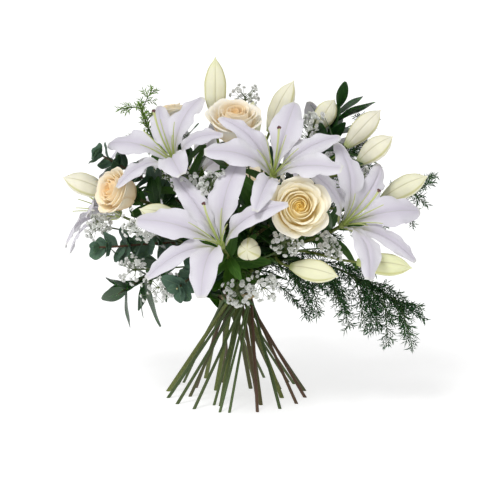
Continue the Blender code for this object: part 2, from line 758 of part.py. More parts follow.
def lily_centre_solid(name):
    """The long style with its stigma, and six filaments round it, on one small receptacle."""
    base, axis, _, _ = LILIES[name]
    axis, up, _ = facing(axis)
    foot = np.array(base, float) + axis * (THROAT_HEIGHT + GAP)
    style = bezier(foot, foot + axis * 25, foot + axis * 50 + up * 2, foot + axis * 74 + up * 12, 13)
    curve = Curve(style)
    top = curve.length
    solid = Solid(curve, [0, 3, 7, top * 0.5, top - 7, top], [3.0, 2.6, 1.4, 1.1, 1.4, 2.9], 6)
    for k in range(6):
        key = ("stem", 0, k)
        out = solid.outward(key)
        start = solid.corners(key).mean(axis=0)
        across = solid.corners(key)[1] - solid.corners(key)[0]
        middle = start + out * 9 + axis * 24
        end = start + out * 23 + axis * 48
        first = unit(out * 0.6 + axis)
        solid.draw_out(key, [square_ring(middle, first, across, 0.75)], 2, end)
    return solid


def bud_solid(name):
    base, tip = (np.array(p, float) for p in BUDS[name])
    curve = Curve([base, tip])
    places = [curve.length * share for share, _ in BUD_PROFILE]
    radii = [BUD_WIDTH / 2 * size for _, size in BUD_PROFILE]
    solid = Solid(curve, places, radii, BUD_SIDES)
    for row in range(len(places)):
        centre = curve.at(places[row])
        for k in range(0, BUD_SIDES, 2):
            index = row * BUD_SIDES + k
            solid.points[index] = centre + (solid.points[index] - centre) * 1.12
    return solid


def rose_petal(name, clock, layer):
    """The surface of one rose petal, part of a cup round the rose's axis."""
    base, axis, radius = ROSES[name]
    _, length, half_width, angles, _ = ROSE_LAYERS[layer]
    axis, up, right = facing(axis)
    base = np.asarray(base, float)
    start_height, start_radius = (
        (ROSE_CORE[layer][k] + ROSE_CORE[layer + 1][k]) / 2 * radius for k in range(2)
    )

    def surface(q, c):
        shorter = 1 - 0.09 * c * c * q
        reach, rise, _ = arc(q * shorter, length * radius, angles)
        spread = np.radians(half_width) * (0.45 + 0.55 * np.sin(math.pi / 2 * np.clip(q / 0.6, 0, 1)))
        spread = spread * (1 - 0.2 * np.clip(q - 0.75, 0, 1) / 0.25)
        turn = math.radians(clock) - c * spread
        out = start_radius + reach
        around = np.cos(turn)[..., None] * up + np.sin(turn)[..., None] * right
        height = start_height + rise
        return base + out[..., None] * around + height[..., None] * axis

    return surface


def rose_solid(name, around):
    """A rose bloom: a closed core with three layers of petals that overlap like shingles."""
    base, axis, radius = ROSES[name]
    base, axis = np.array(base, float), unit(axis)
    curve = Curve([base, base + axis * radius * ROSE_CORE[-1][0]])
    places = [share * radius for share, _ in ROSE_CORE]
    solid = Solid(curve, places, [width * radius for _, width in ROSE_CORE], 6)
    around.add(name, solid.closed())
    for layer, (clocks, _, _, _, count) in enumerate(ROSE_LAYERS):
        columns = np.linspace(-1, 1, count)
        for clock in clocks:
            rings = blade_rings(rose_petal(name, clock, layer), ROSE_ROWS, columns, PETAL_THICKNESS)
            key = solid.side_towards("stem", layer, clock_direction(axis, clock)[0])
            if not around.clear(trial(rings, count), name):
                continue
            solid.draw_out(key, rings, count)
            around.add(f"{name} petal {layer} {clock}", trial(rings, count))
    return solid


# Leaves, needles and florets.

def leaf(base, direction, face, length, width, bow):
    """The surface of a leaf that starts along direction, with its upper side towards face."""
    direction = unit(direction)
    face = unit(face - direction * (face @ direction))
    across = np.cross(face, direction)

    def surface(q, c):
        half = width / 2 * np.sin(math.pi * (0.05 + 0.91 * np.clip(q, 0, 1) ** 0.9)) ** 0.8
        forward = length * (q - 0.12 * bow * q**2)
        lift = 0.10 * np.abs(c) * half - bow * length * 0.5 * q * q
        y = c * half
        return base + forward[..., None] * direction + lift[..., None] * face + y[..., None] * across

    return surface


def grow_leaves(name, stem, kind, around, rng):
    """Leaves at a stem's nodes, each turned until it is clear of the rest, or left out."""
    solid, curve, rows, places = stem
    turn = rng.uniform(0, 2 * math.pi)
    for row, place in zip(rows, places):
        forward = curve.direction(place)
        _, up, right = facing(forward)
        left_over = (curve.length - place) / (curve.length * (1 - kind["first"]))
        size = 0.72 + 0.28 * math.sin(math.pi * min(1.0, 0.25 + left_over * 0.75))
        for number in range(kind["pair"]):
            angle = turn + number * 2 * math.pi / kind["pair"]
            key = solid.side_towards("stem", row, up * math.cos(angle) + right * math.sin(angle))
            if key is None:
                continue
            outward = solid.outward(key)
            sideways = np.cross(forward, outward)
            root = solid.corners(key)
            start = root.mean(axis=0)
            for sway in (0.0, 0.35, -0.35, 0.7, -0.7, 1.1, -1.1):
                lean = rng.uniform(0.35, 0.75)
                direction = unit(outward + forward * lean + sideways * sway)
                length, width = kind["length"] * size, kind["width"] * size
                surface = leaf(start, direction, forward, length, width, kind["bow"])
                rings = blade_rings(surface, kind["rows"], (-1.0, 1.0), LEAF_THICKNESS)
                shape = trial([root + outward * ROOT_CLEAR, *rings], 2)
                if around.clear(shape):
                    solid.draw_out(key, rings, 2)
                    around.add(name, shape)
                    break
        turn += math.pi / 2 if kind["pair"] == 2 else 2.4


def leaf_nodes(length, kind):
    first = max(length * kind["first"], WAIST_HEIGHT * 1.15 + 45)
    return list(np.arange(first, length - 1.5, kind["spacing"]))


def grow_needles(name, solid, part, around, rng):
    """Draws every free side face of a branch out into a needle."""
    for key in [key for key in solid.sides if key[0] == part and key[1] > 0]:
        corners = solid.corners(key)
        forward = unit(corners[2] + corners[3] - corners[0] - corners[1])
        outward = solid.outward(key)
        sideways = np.cross(forward, outward)
        for _ in range(3):
            direction = unit(outward + forward * rng.uniform(0.4, 0.9) + sideways * rng.uniform(-0.3, 0.3))
            tip = corners.mean(axis=0) + direction * NEEDLE * rng.uniform(0.85, 1.15)
            shape = trial([corners + outward * ROOT_CLEAR], 2, tip)
            if around.clear(shape, name):
                solid.draw_out(key, [], 2, tip)
                around.add(name, shape)
                break


def grow_florets(name, solid, part, rows, around, rng):
    """Draws side faces of short rows out into thin stalks with a floret at the end."""
    keys = [key for key in solid.sides if key[0] == part and key[1] in rows]
    rng.shuffle(keys)
    grown = 0
    for key in keys:
        if grown == FLORETS:
            return
        corners = solid.corners(key)
        forward = unit(corners[2] + corners[3] - corners[0] - corners[1])
        outward = solid.outward(key)
        sideways = np.cross(forward, outward)
        for _ in range(5):
            length = rng.uniform(10, 22)
            direction = unit(outward + forward * rng.uniform(0.0, 1.0) + sideways * rng.uniform(-0.7, 0.7))
            start = corners.mean(axis=0)
            across = corners[1] - corners[0]
            rings = [
                square_ring(start + direction * (length - 2.2), direction, across, 0.5),
                square_ring(start + direction * length, direction, across, FLORET),
            ]
            tip = start + direction * (length + 1.4)
            shape = trial([corners + outward * ROOT_CLEAR, *rings], 2, tip)
            if around.clear(shape):
                solid.draw_out(key, rings, 2, tip)
                around.add(name, shape)
                grown += 1
                break


# Nodes.

def lily_stem(name, feet, curves, radii, parents):
    branches = [key for key, (parent, _) in parents.items() if parent == name]
    curve = Curve([feet[name], *curves[name]])
    forks = [curve.places[parents[key][1] + 1] for key in branches]
    leaves = [place for place in leaf_nodes(curve.length * 0.92, LILY_LEAF)
              if all(abs(place - fork) > 9 for fork in forks)]
    nodes = sorted(forks + leaves)
    radius = radii[name]
    solid, curve, rows = stem_solid(feet[name], curves[name], radius, radius * 0.8, 5, nodes, 1.9)
    for key, fork in zip(branches, forks):
        row = rows[nodes.index(fork)]
        add_side_branch((solid, curve), row, key, curves[key], radii[key], radius)
    return solid, curve, [rows[nodes.index(place)] for place in leaves], leaves


def rose_stem(name, feet, curves, radii):
    """A rose's stem, which widens into the cup under its bloom."""
    stem = name + "_stem"
    curve = Curve([feet[stem], *curves[stem]])
    leaves = leaf_nodes(curve.length - 26, ROSE_LEAF)
    radius = radii[stem]
    solid, curve, rows = stem_solid(feet[stem], curves[stem], radius, radius * 0.8, 5, leaves)
    top = curve.at(curve.length)
    axis = unit(ROSES[name][1])
    for index in range(len(solid.points) - 5, len(solid.points)):
        across = solid.points[index] - top
        across = unit(across - axis * (across @ axis))
        solid.points[index] = top + across * ROSES[name][2] * 0.19
    return solid, curve, rows, leaves


def spray_stem(name, feet, curves, radii, kind):
    curve = Curve([feet[name], *curves[name]])
    leaves = leaf_nodes(curve.length, kind)
    solid, curve, rows = stem_solid(feet[name], curves[name], radii[name], 1.3, 4, leaves)
    return solid, curve, rows, leaves


def fern_stem(name, feet, curves, radii):
    curve = Curve([feet[name], *curves[name]])
    nodes = list(np.linspace(curve.length * 0.50, curve.length - 8, FERN_BRANCHES))
    solid, curve, rows = stem_solid(feet[name], curves[name], radii[name], 1.1, 4, nodes, 1.5)
    return solid, curve, rows, nodes


def cloud_places(curve):
    """Pairs of rings near the end of a twig, where florets are drawn out."""
    places = []
    for index in range(CLOUD_NODES):
        end = curve.length - 3 - 9 * (CLOUD_NODES - 1 - index)
        places += [end - 1.4, end]
    return places


def gypsophila_stem(key, feet, curves, radii, parents):
    """A stem with its twigs, and the rows of each where florets grow."""
    curve = Curve([feet[key], *curves[key]])
    forks = [branch for branch, (parent, _) in parents.items() if parent == key]
    ends = [place + 0.7 for place in cloud_places(curve)[::2]]
    fork_places = [curve.places[parents[fork][1] + 1] for fork in forks]
    nodes = sorted(fork_places + ends)
    solid, curve, rows = stem_solid(feet[key], curves[key], radii[key], 1.0, 4, nodes, 0.7, 44)
    cloud_rows = {"stem": [rows[nodes.index(end)] for end in ends]}
    for fork, place in zip(forks, fork_places):
        row = rows[nodes.index(place)]
        add_side_branch((solid, curve), row, fork, curves[fork], radii[fork], radii[key], cloud=True)
        last = max(side[1] for side in solid.sides if side[0] == fork)
        cloud_rows[fork] = [last - 3, last - 1]
    return solid, curve, cloud_rows, None


def bare_stems(feet, curves, radii, parents):
    """Each stem with its branches, but no leaves yet: solid, curve, rows and places of leaves."""
    stems = {}
    for name in LILY_STEMS:
        stems[name] = lily_stem(name, feet, curves, radii, parents)
    for name in ROSES:
        stems[name + "_stem"] = rose_stem(name, feet, curves, radii)
    for name in EUCALYPTUS:
        stems[name] = spray_stem(name, feet, curves, radii, ROUND_LEAF)
    for name in LEAF_SPRAYS:
        stems[name] = spray_stem(name, feet, curves, radii, BLADE_LEAF)
    for name in FERNS:
        stems[name] = fern_stem(name, feet, curves, radii)
    for name in GYPSOPHILA:
        for number in range(2):
            key = f"{name}:{number}"
            stems[key] = gypsophila_stem(key, feet, curves, radii, parents)
    return stems


def frond_branch(start, outward, forward, reach):
    """The curve of one drooping branch of a fern."""
    direction = unit(outward + forward)
    drop = np.array((0, 0, -0.25 * reach))
    leave = start + direction * reach * 0.4
    arrive = start + direction * reach * 0.75 + drop * 0.4
    return Curve(bezier(start, leave, arrive, start + direction * reach + drop, 16))


def grow_frond(name, stem, around, rng):
    """Branches all round the outer part of a fern's stem, each covered in needles."""
    solid, curve, rows, places = stem
    for index, (row, place) in enumerate(zip(rows, places)):
        forward = curve.direction(place)
        _, up, right = facing(forward)
        reach = FERN_BRANCH_LENGTH * (1.0 - 0.45 * index / (FERN_BRANCHES - 1))
        for attempt in range(8):
            angle = 2.4 * index + 0.8 * attempt
            outward = up * math.cos(angle) + right * math.sin(angle)
            key = solid.side_towards("stem", row, outward)
            root = solid.corners(key)
            branch = frond_branch(root.mean(axis=0), outward, forward * (0.9 + 0.1 * attempt), reach)
            rings = []
            for along in np.arange(4.0, branch.length, NEEDLE_SPACING):
                ring = square_ring(branch.at(along), branch.direction(along), root[1] - root[0], 0.65)
                rings.append(ring)
            shape = trial([root + solid.outward(key) * ROOT_CLEAR, *rings], 2)
            if around.clear(shape):
                part = f"branch {index}"
                solid.branch(key, part, rings)
                around.add(f"{name} {part}", shape)
                grow_needles(name + " " + part, solid, part, around, rng)
                break


def tie_solid():
    """A band of three turns round the waist, closed all the way round."""
    widest = math.hypot(RING_RADII[3], RING_SLOPES[3] * TIE_HEIGHT / 2)
    inner = (widest + SPRIG_STEM / 2 + GAP) / math.cos(math.pi / TIE_SIDES)
    half = TIE_HEIGHT / 2
    profile = (
        (inner, -half),
        (inner + TIE_THICKNESS, -half),
        (inner + TIE_THICKNESS * 0.8, 0.0),
        (inner + TIE_THICKNESS, half),
        (inner, half),
    )
    points, faces = [], []
    for k in range(TIE_SIDES):
        turn = 2 * math.pi * k / TIE_SIDES
        for radius, height in profile:
            points.append((radius * math.cos(turn), radius * math.sin(turn), WAIST_HEIGHT + height))
    wide = len(profile)
    for k in range(TIE_SIDES):
        following = (k + 1) % TIE_SIDES
        for j in range(wide):
            far = (j + 1) % wide
            a, b = k * wide + j, following * wide + j
            c, d = following * wide + far, k * wide + far
            faces += [(a, b, c), (a, c, d)]
    return np.array(points), faces


# Objects.

def material(name):
    found = bpy.data.materials.new(name)
    found.use_nodes = True
    shader = found.node_tree.nodes["Principled BSDF"]
    kind = next(word for word in ("stem", "centre", *COLOURS) if word in name)
    shader.inputs["Base Color"].default_value = (*COLOURS[kind], 1)
    shader.inputs["Roughness"].default_value = 0.6
    shader.inputs["Metallic"].default_value = 0.0
    return found


def make_object(name, solid):
    points, faces = solid
    mesh = bpy.data.meshes.new(name)
    mesh.from_pydata([tuple((np.array(p) + BUNDLE) * MM) for p in points], [], faces)
    mesh.materials.append(material(name))
    mesh.shade_smooth()
    mesh.set_sharp_from_angle(angle=math.radians(50))
    obj = bpy.data.objects.new(name, mesh)
    bpy.context.scene.collection.objects.link(obj)
    return obj


def fuse(name, first, second):
    """One object from two overlapping solids."""
    base = make_object(name, first)
    other = make_object(name + "_other", second)
    union = base.modifiers.new("Union", "BOOLEAN")
    union.operation = "UNION"
    union.solver = "EXACT"
    union.object = other
    bpy.context.view_layer.update()
    graph = bpy.context.evaluated_depsgraph_get()
    joined_mesh = bpy.data.meshes.new_from_object(base.evaluated_get(graph))
    base.modifiers.clear()
    base.data = joined_mesh
    bpy.data.objects.remove(other)


def main():
    for obj in list(bpy.data.objects):
        bpy.data.objects.remove(obj, do_unlink=True)
    stems = settled_stems()
    around = Surroundings()
    rng = random.Random(7)
    for name, stem in stems.items():
        around.add(name.split(":")[0], stem[0].closed())
    nodes = {"tie": tie_solid()}
    around.add("tie", nodes["tie"])
    for name in BUDS:
        nodes[name] = bud_solid(name).closed()
        around.add(name, nodes[name])
    for name in LILIES:
        nodes[name + "_centre"] = lily_centre_solid(name).closed()
        around.add(name + "_centre", nodes[name + "_centre"])
    for name in ROSES:
        nodes[name] = rose_solid(name, around).closed()
    for name in LILIES:
        nodes[name] = lily_solid(name, around).closed()
    kinds = {"eucalyptus": ROUND_LEAF, "leaves": BLADE_LEAF, "lily": LILY_LEAF, "rose": ROSE_LEAF}
    for name, stem in stems.items():
        if name.split("_")[0] in kinds:
            grow_leaves(name, stem, kinds[name.split("_")[0]], around, rng)
            nodes[name] = stem[0].closed()
    for name in FERNS:
        grow_frond(name, stems[name], around, rng)
        nodes[name] = stems[name][0].closed()
    for name, solid in nodes.items():
        make_object(name, solid)
    for name in GYPSOPHILA:
        pair = [stems[f"{name}:{number}"] for number in range(2)]
        for solid, _, cloud_rows, _ in pair:
            for part, rows in cloud_rows.items():
                grow_florets(name, solid, part, rows, around, rng)
        fuse(name, *(stem[0].closed() for stem in pair))


main()
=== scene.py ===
"""The looks of the bouquet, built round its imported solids.

Every place is in millimetres from the middle of the bundle of stems, as in the part's source,
until make_piece moves it by BUNDLE and turns it into metres. The layout and the curves of the
stems are the source's own. Each tepal, leaf and branch of fern is laid along the one that the
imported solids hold, and then given its fine form, hairs, veins and colour.
"""

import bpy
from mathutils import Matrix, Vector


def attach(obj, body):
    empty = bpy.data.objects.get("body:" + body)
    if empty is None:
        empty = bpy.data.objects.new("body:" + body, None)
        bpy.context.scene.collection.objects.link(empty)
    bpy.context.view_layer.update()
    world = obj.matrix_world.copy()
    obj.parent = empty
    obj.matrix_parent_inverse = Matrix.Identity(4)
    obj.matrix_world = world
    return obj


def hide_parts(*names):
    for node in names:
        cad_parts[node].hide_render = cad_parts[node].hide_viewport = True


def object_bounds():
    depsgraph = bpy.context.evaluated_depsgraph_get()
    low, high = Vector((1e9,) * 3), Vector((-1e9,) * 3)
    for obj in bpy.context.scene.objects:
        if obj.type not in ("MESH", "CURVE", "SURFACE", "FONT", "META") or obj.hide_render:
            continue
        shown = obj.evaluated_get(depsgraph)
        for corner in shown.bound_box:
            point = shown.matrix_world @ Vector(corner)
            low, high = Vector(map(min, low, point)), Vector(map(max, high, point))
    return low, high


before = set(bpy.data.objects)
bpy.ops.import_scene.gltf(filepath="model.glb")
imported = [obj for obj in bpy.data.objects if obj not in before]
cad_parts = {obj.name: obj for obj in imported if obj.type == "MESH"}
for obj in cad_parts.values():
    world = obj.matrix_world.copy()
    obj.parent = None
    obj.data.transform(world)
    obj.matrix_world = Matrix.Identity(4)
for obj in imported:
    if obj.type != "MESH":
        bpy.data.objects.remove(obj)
CAD_BOX = [[float(value) for value in corner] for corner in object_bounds()]

import math
import random

import bpy
import numpy as np
from mathutils import Vector
from mathutils.bvhtree import BVHTree

MM = 0.001
BUNDLE = (-19.4, 11.6, 0.0)
GAP = 0.35

# The spiral bundle: three rings of stems round the waist, where the tie holds them.
WAIST_HEIGHT = 130.0
STRAIGHT_ABOVE_WAIST = 18.0
RING_RADII = {1: 6.1, 2: 12.45, 3: 18.4}
RING_SLOPES = {1: 0.24, 2: 0.45, 3: 0.66}
LILY_STEM = 5.6
ROSE_STEM = 5.2
SPRIG_STEM = 4.2
THIN_STEM = 3.6
PAIR_ANGLE = 3.9
PAIR_WIDTH = 1.6
PEDICEL = 4.0
TWIG = 2.4
CURVE_POINTS = 25
FORK_POINTS = 4
RELAX_ROUNDS = 70
MORE_ROUNDS = 15
CLEARANCE = 1.3
CLEARANCE_STEP = 0.4

TIE_HEIGHT = 10.0

# Lilies: base, direction it faces, tepal length, and the clock angle of each tepal, in degrees
# from the top, seen from the front. Broad and narrow tepals alternate.
LILIES = {
    "lily_1": ((-17, -125, 217), (-0.30, -0.69, 0.66), 112, (8, 64, 170, 220, 270, 320)),
    "lily_2": ((44, -85, 294), (0.10, -0.65, 0.75), 100, (22, 70, 118, 204, 276, 328)),
    "lily_3": ((128, -72, 232), (0.58, -0.63, 0.52), 105, (98, 148, 202, 308, 0, 50)),
    "lily_4": ((-74, -34, 300), (-0.40, -0.45, 0.80), 92, (5, 62, 125, 195, 258, 318)),
    "lily_5": ((-146, 40, 222), (-0.88, 0.10, 0.46), 92, (10, 70, 130, 190, 250, 310)),
    "lily_6": ((96, 104, 262), (0.50, 0.72, 0.48), 98, (0, 60, 120, 180, 240, 300)),
    "lily_7": ((-52, 122, 250), (-0.30, 0.84, 0.45), 98, (30, 90, 150, 210, 270, 330)),
}
TEPAL_WIDTHS = (41.0, 29.0)
TEPAL_THICKNESS = 1.2
TEPAL_ANGLES = (26, 40, 66, 90, 104)
TEPAL_ROWS = (0.12, 0.32, 0.56, 0.80, 1.0)
TEPAL_CUPS = (0.34, 0.16)
TEPAL_LEVELS = (6.0, 1.2)
THROAT_RADIUS = 5.0
THROAT_HEIGHT = 7.0
# Ways to bend a tepal clear of its neighbours: tip angle in degrees, sideways in millimetres,
# and share of the full length.
TEPAL_BENDS = (
    (0, 0, 1.0), (0, 9, 1.0), (0, -9, 1.0), (14, 0, 1.0), (-16, 0, 1.0), (0, 18, 1.0),
    (0, -18, 1.0), (-16, 12, 1.0), (-16, -12, 1.0), (14, 12, 1.0), (14, -12, 1.0),
    (-30, 0, 1.0), (28, 0, 1.0), (-30, 16, 0.92), (-30, -16, 0.92), (0, 26, 0.92),
    (0, -26, 0.92), (-42, 0, 0.9), (-42, 18, 0.86), (-42, -18, 0.86), (28, 18, 0.86),
    (28, -18, 0.86), (-20, 0, 0.74), (0, 20, 0.74), (0, -20, 0.74), (-50, 0, 0.7),
)

# Buds: base and tip.
BUDS = {
    "bud_1": ((-26, -8, 352), (-26, -12, 434)),
    "bud_2": ((41, 2, 335), (72, 4, 402)),
    "bud_3": ((-160, -6, 259), (-217, -14, 282)),
    "bud_4": ((-64, -90, 237), (-119, -112, 262)),
    "bud_5": ((136, 6, 316), (181, 20, 362)),
    "bud_6": ((150, -22, 300), (194, -26, 336)),
    "bud_7": ((180, -10, 252), (239, -14, 284)),
    "bud_8": ((147, -88, 190), (216, -104, 186)),
    "bud_9": ((66, -112, 190), (124, -150, 186)),
    "bud_10": ((19, -104, 209), (12, -166, 222)),
    "bud_11": ((100, 44, 330), (124, 52, 370)),
    "bud_12": ((14, 112, 300), (22, 168, 350)),
}
BUD_WIDTH = 27.0
BUD_PROFILE = ((0.0, 0.26), (0.12, 0.56), (0.36, 0.96), (0.62, 1.0), (0.84, 0.66), (0.97, 0.2))

# Roses: base, direction it faces, radius.
ROSES = {
    "rose_1": ((70, -98, 257), (0.12, -0.95, 0.29), 39.0),
    "rose_2": ((-4, -32, 331), (0.06, -0.45, 0.89), 35.0),
    "rose_3": ((-128, -42, 262), (-0.76, -0.55, 0.36), 31.0),
    "rose_4": ((-78, 36, 326), (-0.20, 0.10, 0.97), 28.0),
    "rose_5": ((26, 96, 240), (0.10, 0.92, 0.38), 33.0),
}
# Heights and widths of a rose's core, as shares of its radius.
ROSE_CORE = ((0.0, 0.20), (0.10, 0.23), (0.20, 0.25), (0.31, 0.27), (0.70, 0.30), (1.16, 0.12))
PETAL_THICKNESS = 1.2

# Lily stems: ring at the waist, the head that the stem ends in, then the heads on its side
# branches, with the share of the curve at which each one leaves.
LILY_STEMS = {
    "lily_stem_1": (3, "lily_1", (("bud_4", 0.40), ("bud_10", 0.52))),
    "lily_stem_2": (1, "lily_2", (("bud_1", 0.46), ("bud_2", 0.58))),
    "lily_stem_3": (3, "lily_3", (("bud_9", 0.30), ("bud_8", 0.42))),
    "lily_stem_4": (2, "lily_4", (("lily_5", 0.34), ("bud_3", 0.46))),
    "lily_stem_5": (1, "bud_5", (("bud_7", 0.42), ("bud_11", 0.54), ("bud_6", 0.66))),
    "lily_stem_6": (2, "lily_7", (("lily_6", 0.30), ("bud_12", 0.46))),
}
ROSE_RINGS = {"rose_1": 2, "rose_2": 1, "rose_3": 2, "rose_4": 1, "rose_5": 2}

# Sprays: ring, tip of the stem, direction of the tip.
EUCALYPTUS = {
    "eucalyptus_1": (3, (-172, -14, 312), (-0.85, -0.1, 0.5)),
    "eucalyptus_2": (3, (-172, -62, 203), (-0.95, -0.25, 0.05)),
    "eucalyptus_3": (3, (-72, -128, 166), (-0.45, -0.85, -0.2)),
    "eucalyptus_4": (2, (66, 24, 352), (0.3, 0.1, 0.95)),
    "eucalyptus_5": (3, (60, 158, 214), (0.3, 0.9, 0.2)),
}
LEAF_SPRAYS = {
    "leaves_1": (2, (132, 52, 372), (0.2, 0.1, 0.97)),
    "leaves_2": (3, (-146, -56, 142), (-0.8, -0.3, -0.5)),
}
FERNS = {
    "fern_1": (3, (-122, 34, 366), (-0.4, 0.1, 0.9)),
    "fern_2": (3, (166, 34, 330), (0.6, 0.2, 0.75)),
    "fern_3": (3, (206, -62, 128), (0.8, -0.2, -0.55)),
    "fern_4": (3, (236, 24, 262), (0.95, 0.1, 0.25)),
}
# Gypsophila, two stems in each node: the middles of the clouds of florets on each stem. One
# node's stems are in the middle ring, and the rest in the outer one.
HIGH_GYPSOPHILA = "gypsophila_1"
GYPSOPHILA = {
    "gypsophila_1": (((11, 18, 378),), ((98, 18, 344), (156, -44, 282))),
    "gypsophila_2": (((-58, -92, 292), (-30, -118, 292)), ((-122, -98, 240),)),
    "gypsophila_3": (((-178, -38, 228),), ((-96, -106, 162), (-128, -70, 176))),
    "gypsophila_4": (((34, -128, 166), (0, -132, 160)), ((116, -110, 214), (60, -128, 224))),
    "gypsophila_5": (((140, 90, 296),), ((-10, 132, 290), (-110, 110, 270))),
}

# Leaves along a stem: length, width, bow, share of the stem where they start, spacing, how
# many at one height, and the shares of the leaf's length that its mesh has a row at.
ROUND_LEAF = dict(length=27, width=25, bow=0.15, first=0.60, spacing=28, pair=2, rows=(0.24, 0.58, 0.94))
BLADE_LEAF = dict(length=66, width=18, bow=0.25, first=0.56, spacing=28, pair=1,
                  rows=(0.2, 0.5, 0.8, 1.0))
LILY_LEAF = dict(length=58, width=13, bow=0.35, first=0.42, spacing=54, pair=1, rows=(0.25, 0.6, 1.0))
ROSE_LEAF = dict(length=38, width=24, bow=0.2, first=0.64, spacing=34, pair=1, rows=(0.25, 0.6, 1.0))
LEAF_THICKNESS = 0.8
FERN_BRANCHES = 6
FERN_BRANCH_LENGTH = 64.0

# Pairs of stems that the source bends further apart, and in how many rounds.
FURTHER_APART = {
    ("rose_2_stem", "lily_stem_2"): 3,
    ("rose_3_stem", "lily_stem_4"): 2,
    ("fern_1", "lily_stem_6"): 7,
    ("gypsophila_3:0", "eucalyptus_2"): 1,
    ("gypsophila_4:1", "lily_stem_3"): 1,
}


# Vectors and curves.

def unit(vector):
    vector = np.asarray(vector, float)
    return vector / np.linalg.norm(vector)


def facing(axis):
    """Unit vectors: the axis, and up and right across it as seen by someone it faces."""
    axis = unit(axis)
    level = np.array((0.0, 0.0, 1.0)) if abs(axis[2]) < 0.97 else np.array((0.0, 1.0, 0.0))
    up = unit(level - axis * (level @ axis))
    return axis, up, np.cross(up, axis)


def clock_direction(axis, degrees):
    """The direction across the axis at this clock angle, and the one a quarter turn before it."""
    _, up, right = facing(axis)
    turn = math.radians(degrees)
    out = up * math.cos(turn) + right * math.sin(turn)
    return out, up * math.sin(turn) - right * math.cos(turn)


def bezier(start, leave, arrive, end, count):
    t = np.linspace(0, 1, count)[:, None]
    s = 1 - t
    return s**3 * start + 3 * s * s * t * leave + 3 * s * t * t * arrive + t**3 * end


class Curve:
    """Points joined up, measured by the distance along them."""

    def __init__(self, points):
        self.points = np.asarray(points, float)
        steps = np.linalg.norm(np.diff(self.points, axis=0), axis=1)
        self.places = np.concatenate([[0], np.cumsum(steps)])
        self.length = self.places[-1]

    def at(self, place):
        return np.array([np.interp(place, self.places, self.points[:, k]) for k in range(3)])

    def direction(self, place):
        low, high = max(place - 2, 0), min(place + 2, self.length)
        return unit(self.at(high) - self.at(low))


# The bundle of stems.

def waist_line(ring, azimuth, radius):
    """The point and direction of a straight stem at the waist, in this ring of the spiral.

    The thicker stems of the outer ring sit a little further in, so that all meet the tie.
    """
    inset = radius - SPRIG_STEM / 2 if ring == 3 else 0.0
    turn = math.radians(azimuth)
    outward = np.array((math.cos(turn), math.sin(turn), 0.0))
    along = np.array((-math.sin(turn), math.cos(turn), 0.0))
    direction = unit(along * RING_SLOPES[ring] + np.array((0.0, 0.0, 1.0)))
    return outward * (RING_RADII[ring] - inset) + np.array((0.0, 0.0, WAIST_HEIGHT)), direction


def head_place(head):
    """Where a stem meets a head, and the direction in which it does."""
    if head in LILIES:
        return np.array(LILIES[head][0], float), unit(LILIES[head][1])
    base, tip = (np.array(p, float) for p in BUDS[head])
    return base, unit(tip - base)


def stem_plan():
    """Every stem as name, ring, radius, top and direction of its top."""
    plan = []
    for name, (ring, head, _) in LILY_STEMS.items():
        plan.append((name, ring, LILY_STEM / 2, *head_place(head)))
    for name, (base, direction, _) in ROSES.items():
        plan.append((name + "_stem", ROSE_RINGS[name], ROSE_STEM / 2, base, direction))
    for name, (ring, tip, direction) in {**EUCALYPTUS, **LEAF_SPRAYS, **FERNS}.items():
        plan.append((name, ring, SPRIG_STEM / 2, tip, direction))
    for name, stems in GYPSOPHILA.items():
        for number, clouds in enumerate(stems):
            middle = np.array(clouds[0], float)
            outward = unit(middle - (0, 0, WAIST_HEIGHT + 40))
            ring = 2 if name == HIGH_GYPSOPHILA else 3
            plan.append((f"{name}:{number}", ring, THIN_STEM / 2, middle, outward))
    return plan


def waist_azimuths(plan):
    """Shares each ring out among its stems, in the order of their heads, with pairs together."""
    azimuths = {}
    for ring in RING_RADII:
        groups = {}
        for name, at, _, top, _ in plan:
            if at == ring:
                azimuth = math.degrees(math.atan2(top[1], top[0])) % 360
                groups.setdefault(name.split(":")[0], []).append((azimuth, name))
        slots = [(np.mean([turn for turn, _ in group]), sorted(group)) for group in groups.values()]
        slots.sort()
        widths = np.array([PAIR_WIDTH if len(group) == 2 else 1.0 for _, group in slots])
        centres = (np.cumsum(widths) - widths / 2) * 360 / widths.sum()
        lead = np.mean([azimuth for azimuth, _ in slots] - centres)
        for centre, (_, group) in zip(centres, slots):
            offsets = (-PAIR_ANGLE, PAIR_ANGLE) if len(group) == 2 else (0.0,)
            for offset, (_, name) in zip(offsets, group):
                azimuths[name] = lead + centre + offset - 90
    return azimuths


def rising_curve(start, along, end, direction):
    """A smooth curve that leaves in one direction and arrives in another."""
    reach = np.linalg.norm(end - start) * 0.38
    return bezier(start, start + along * reach, end - unit(direction) * reach, end, CURVE_POINTS)


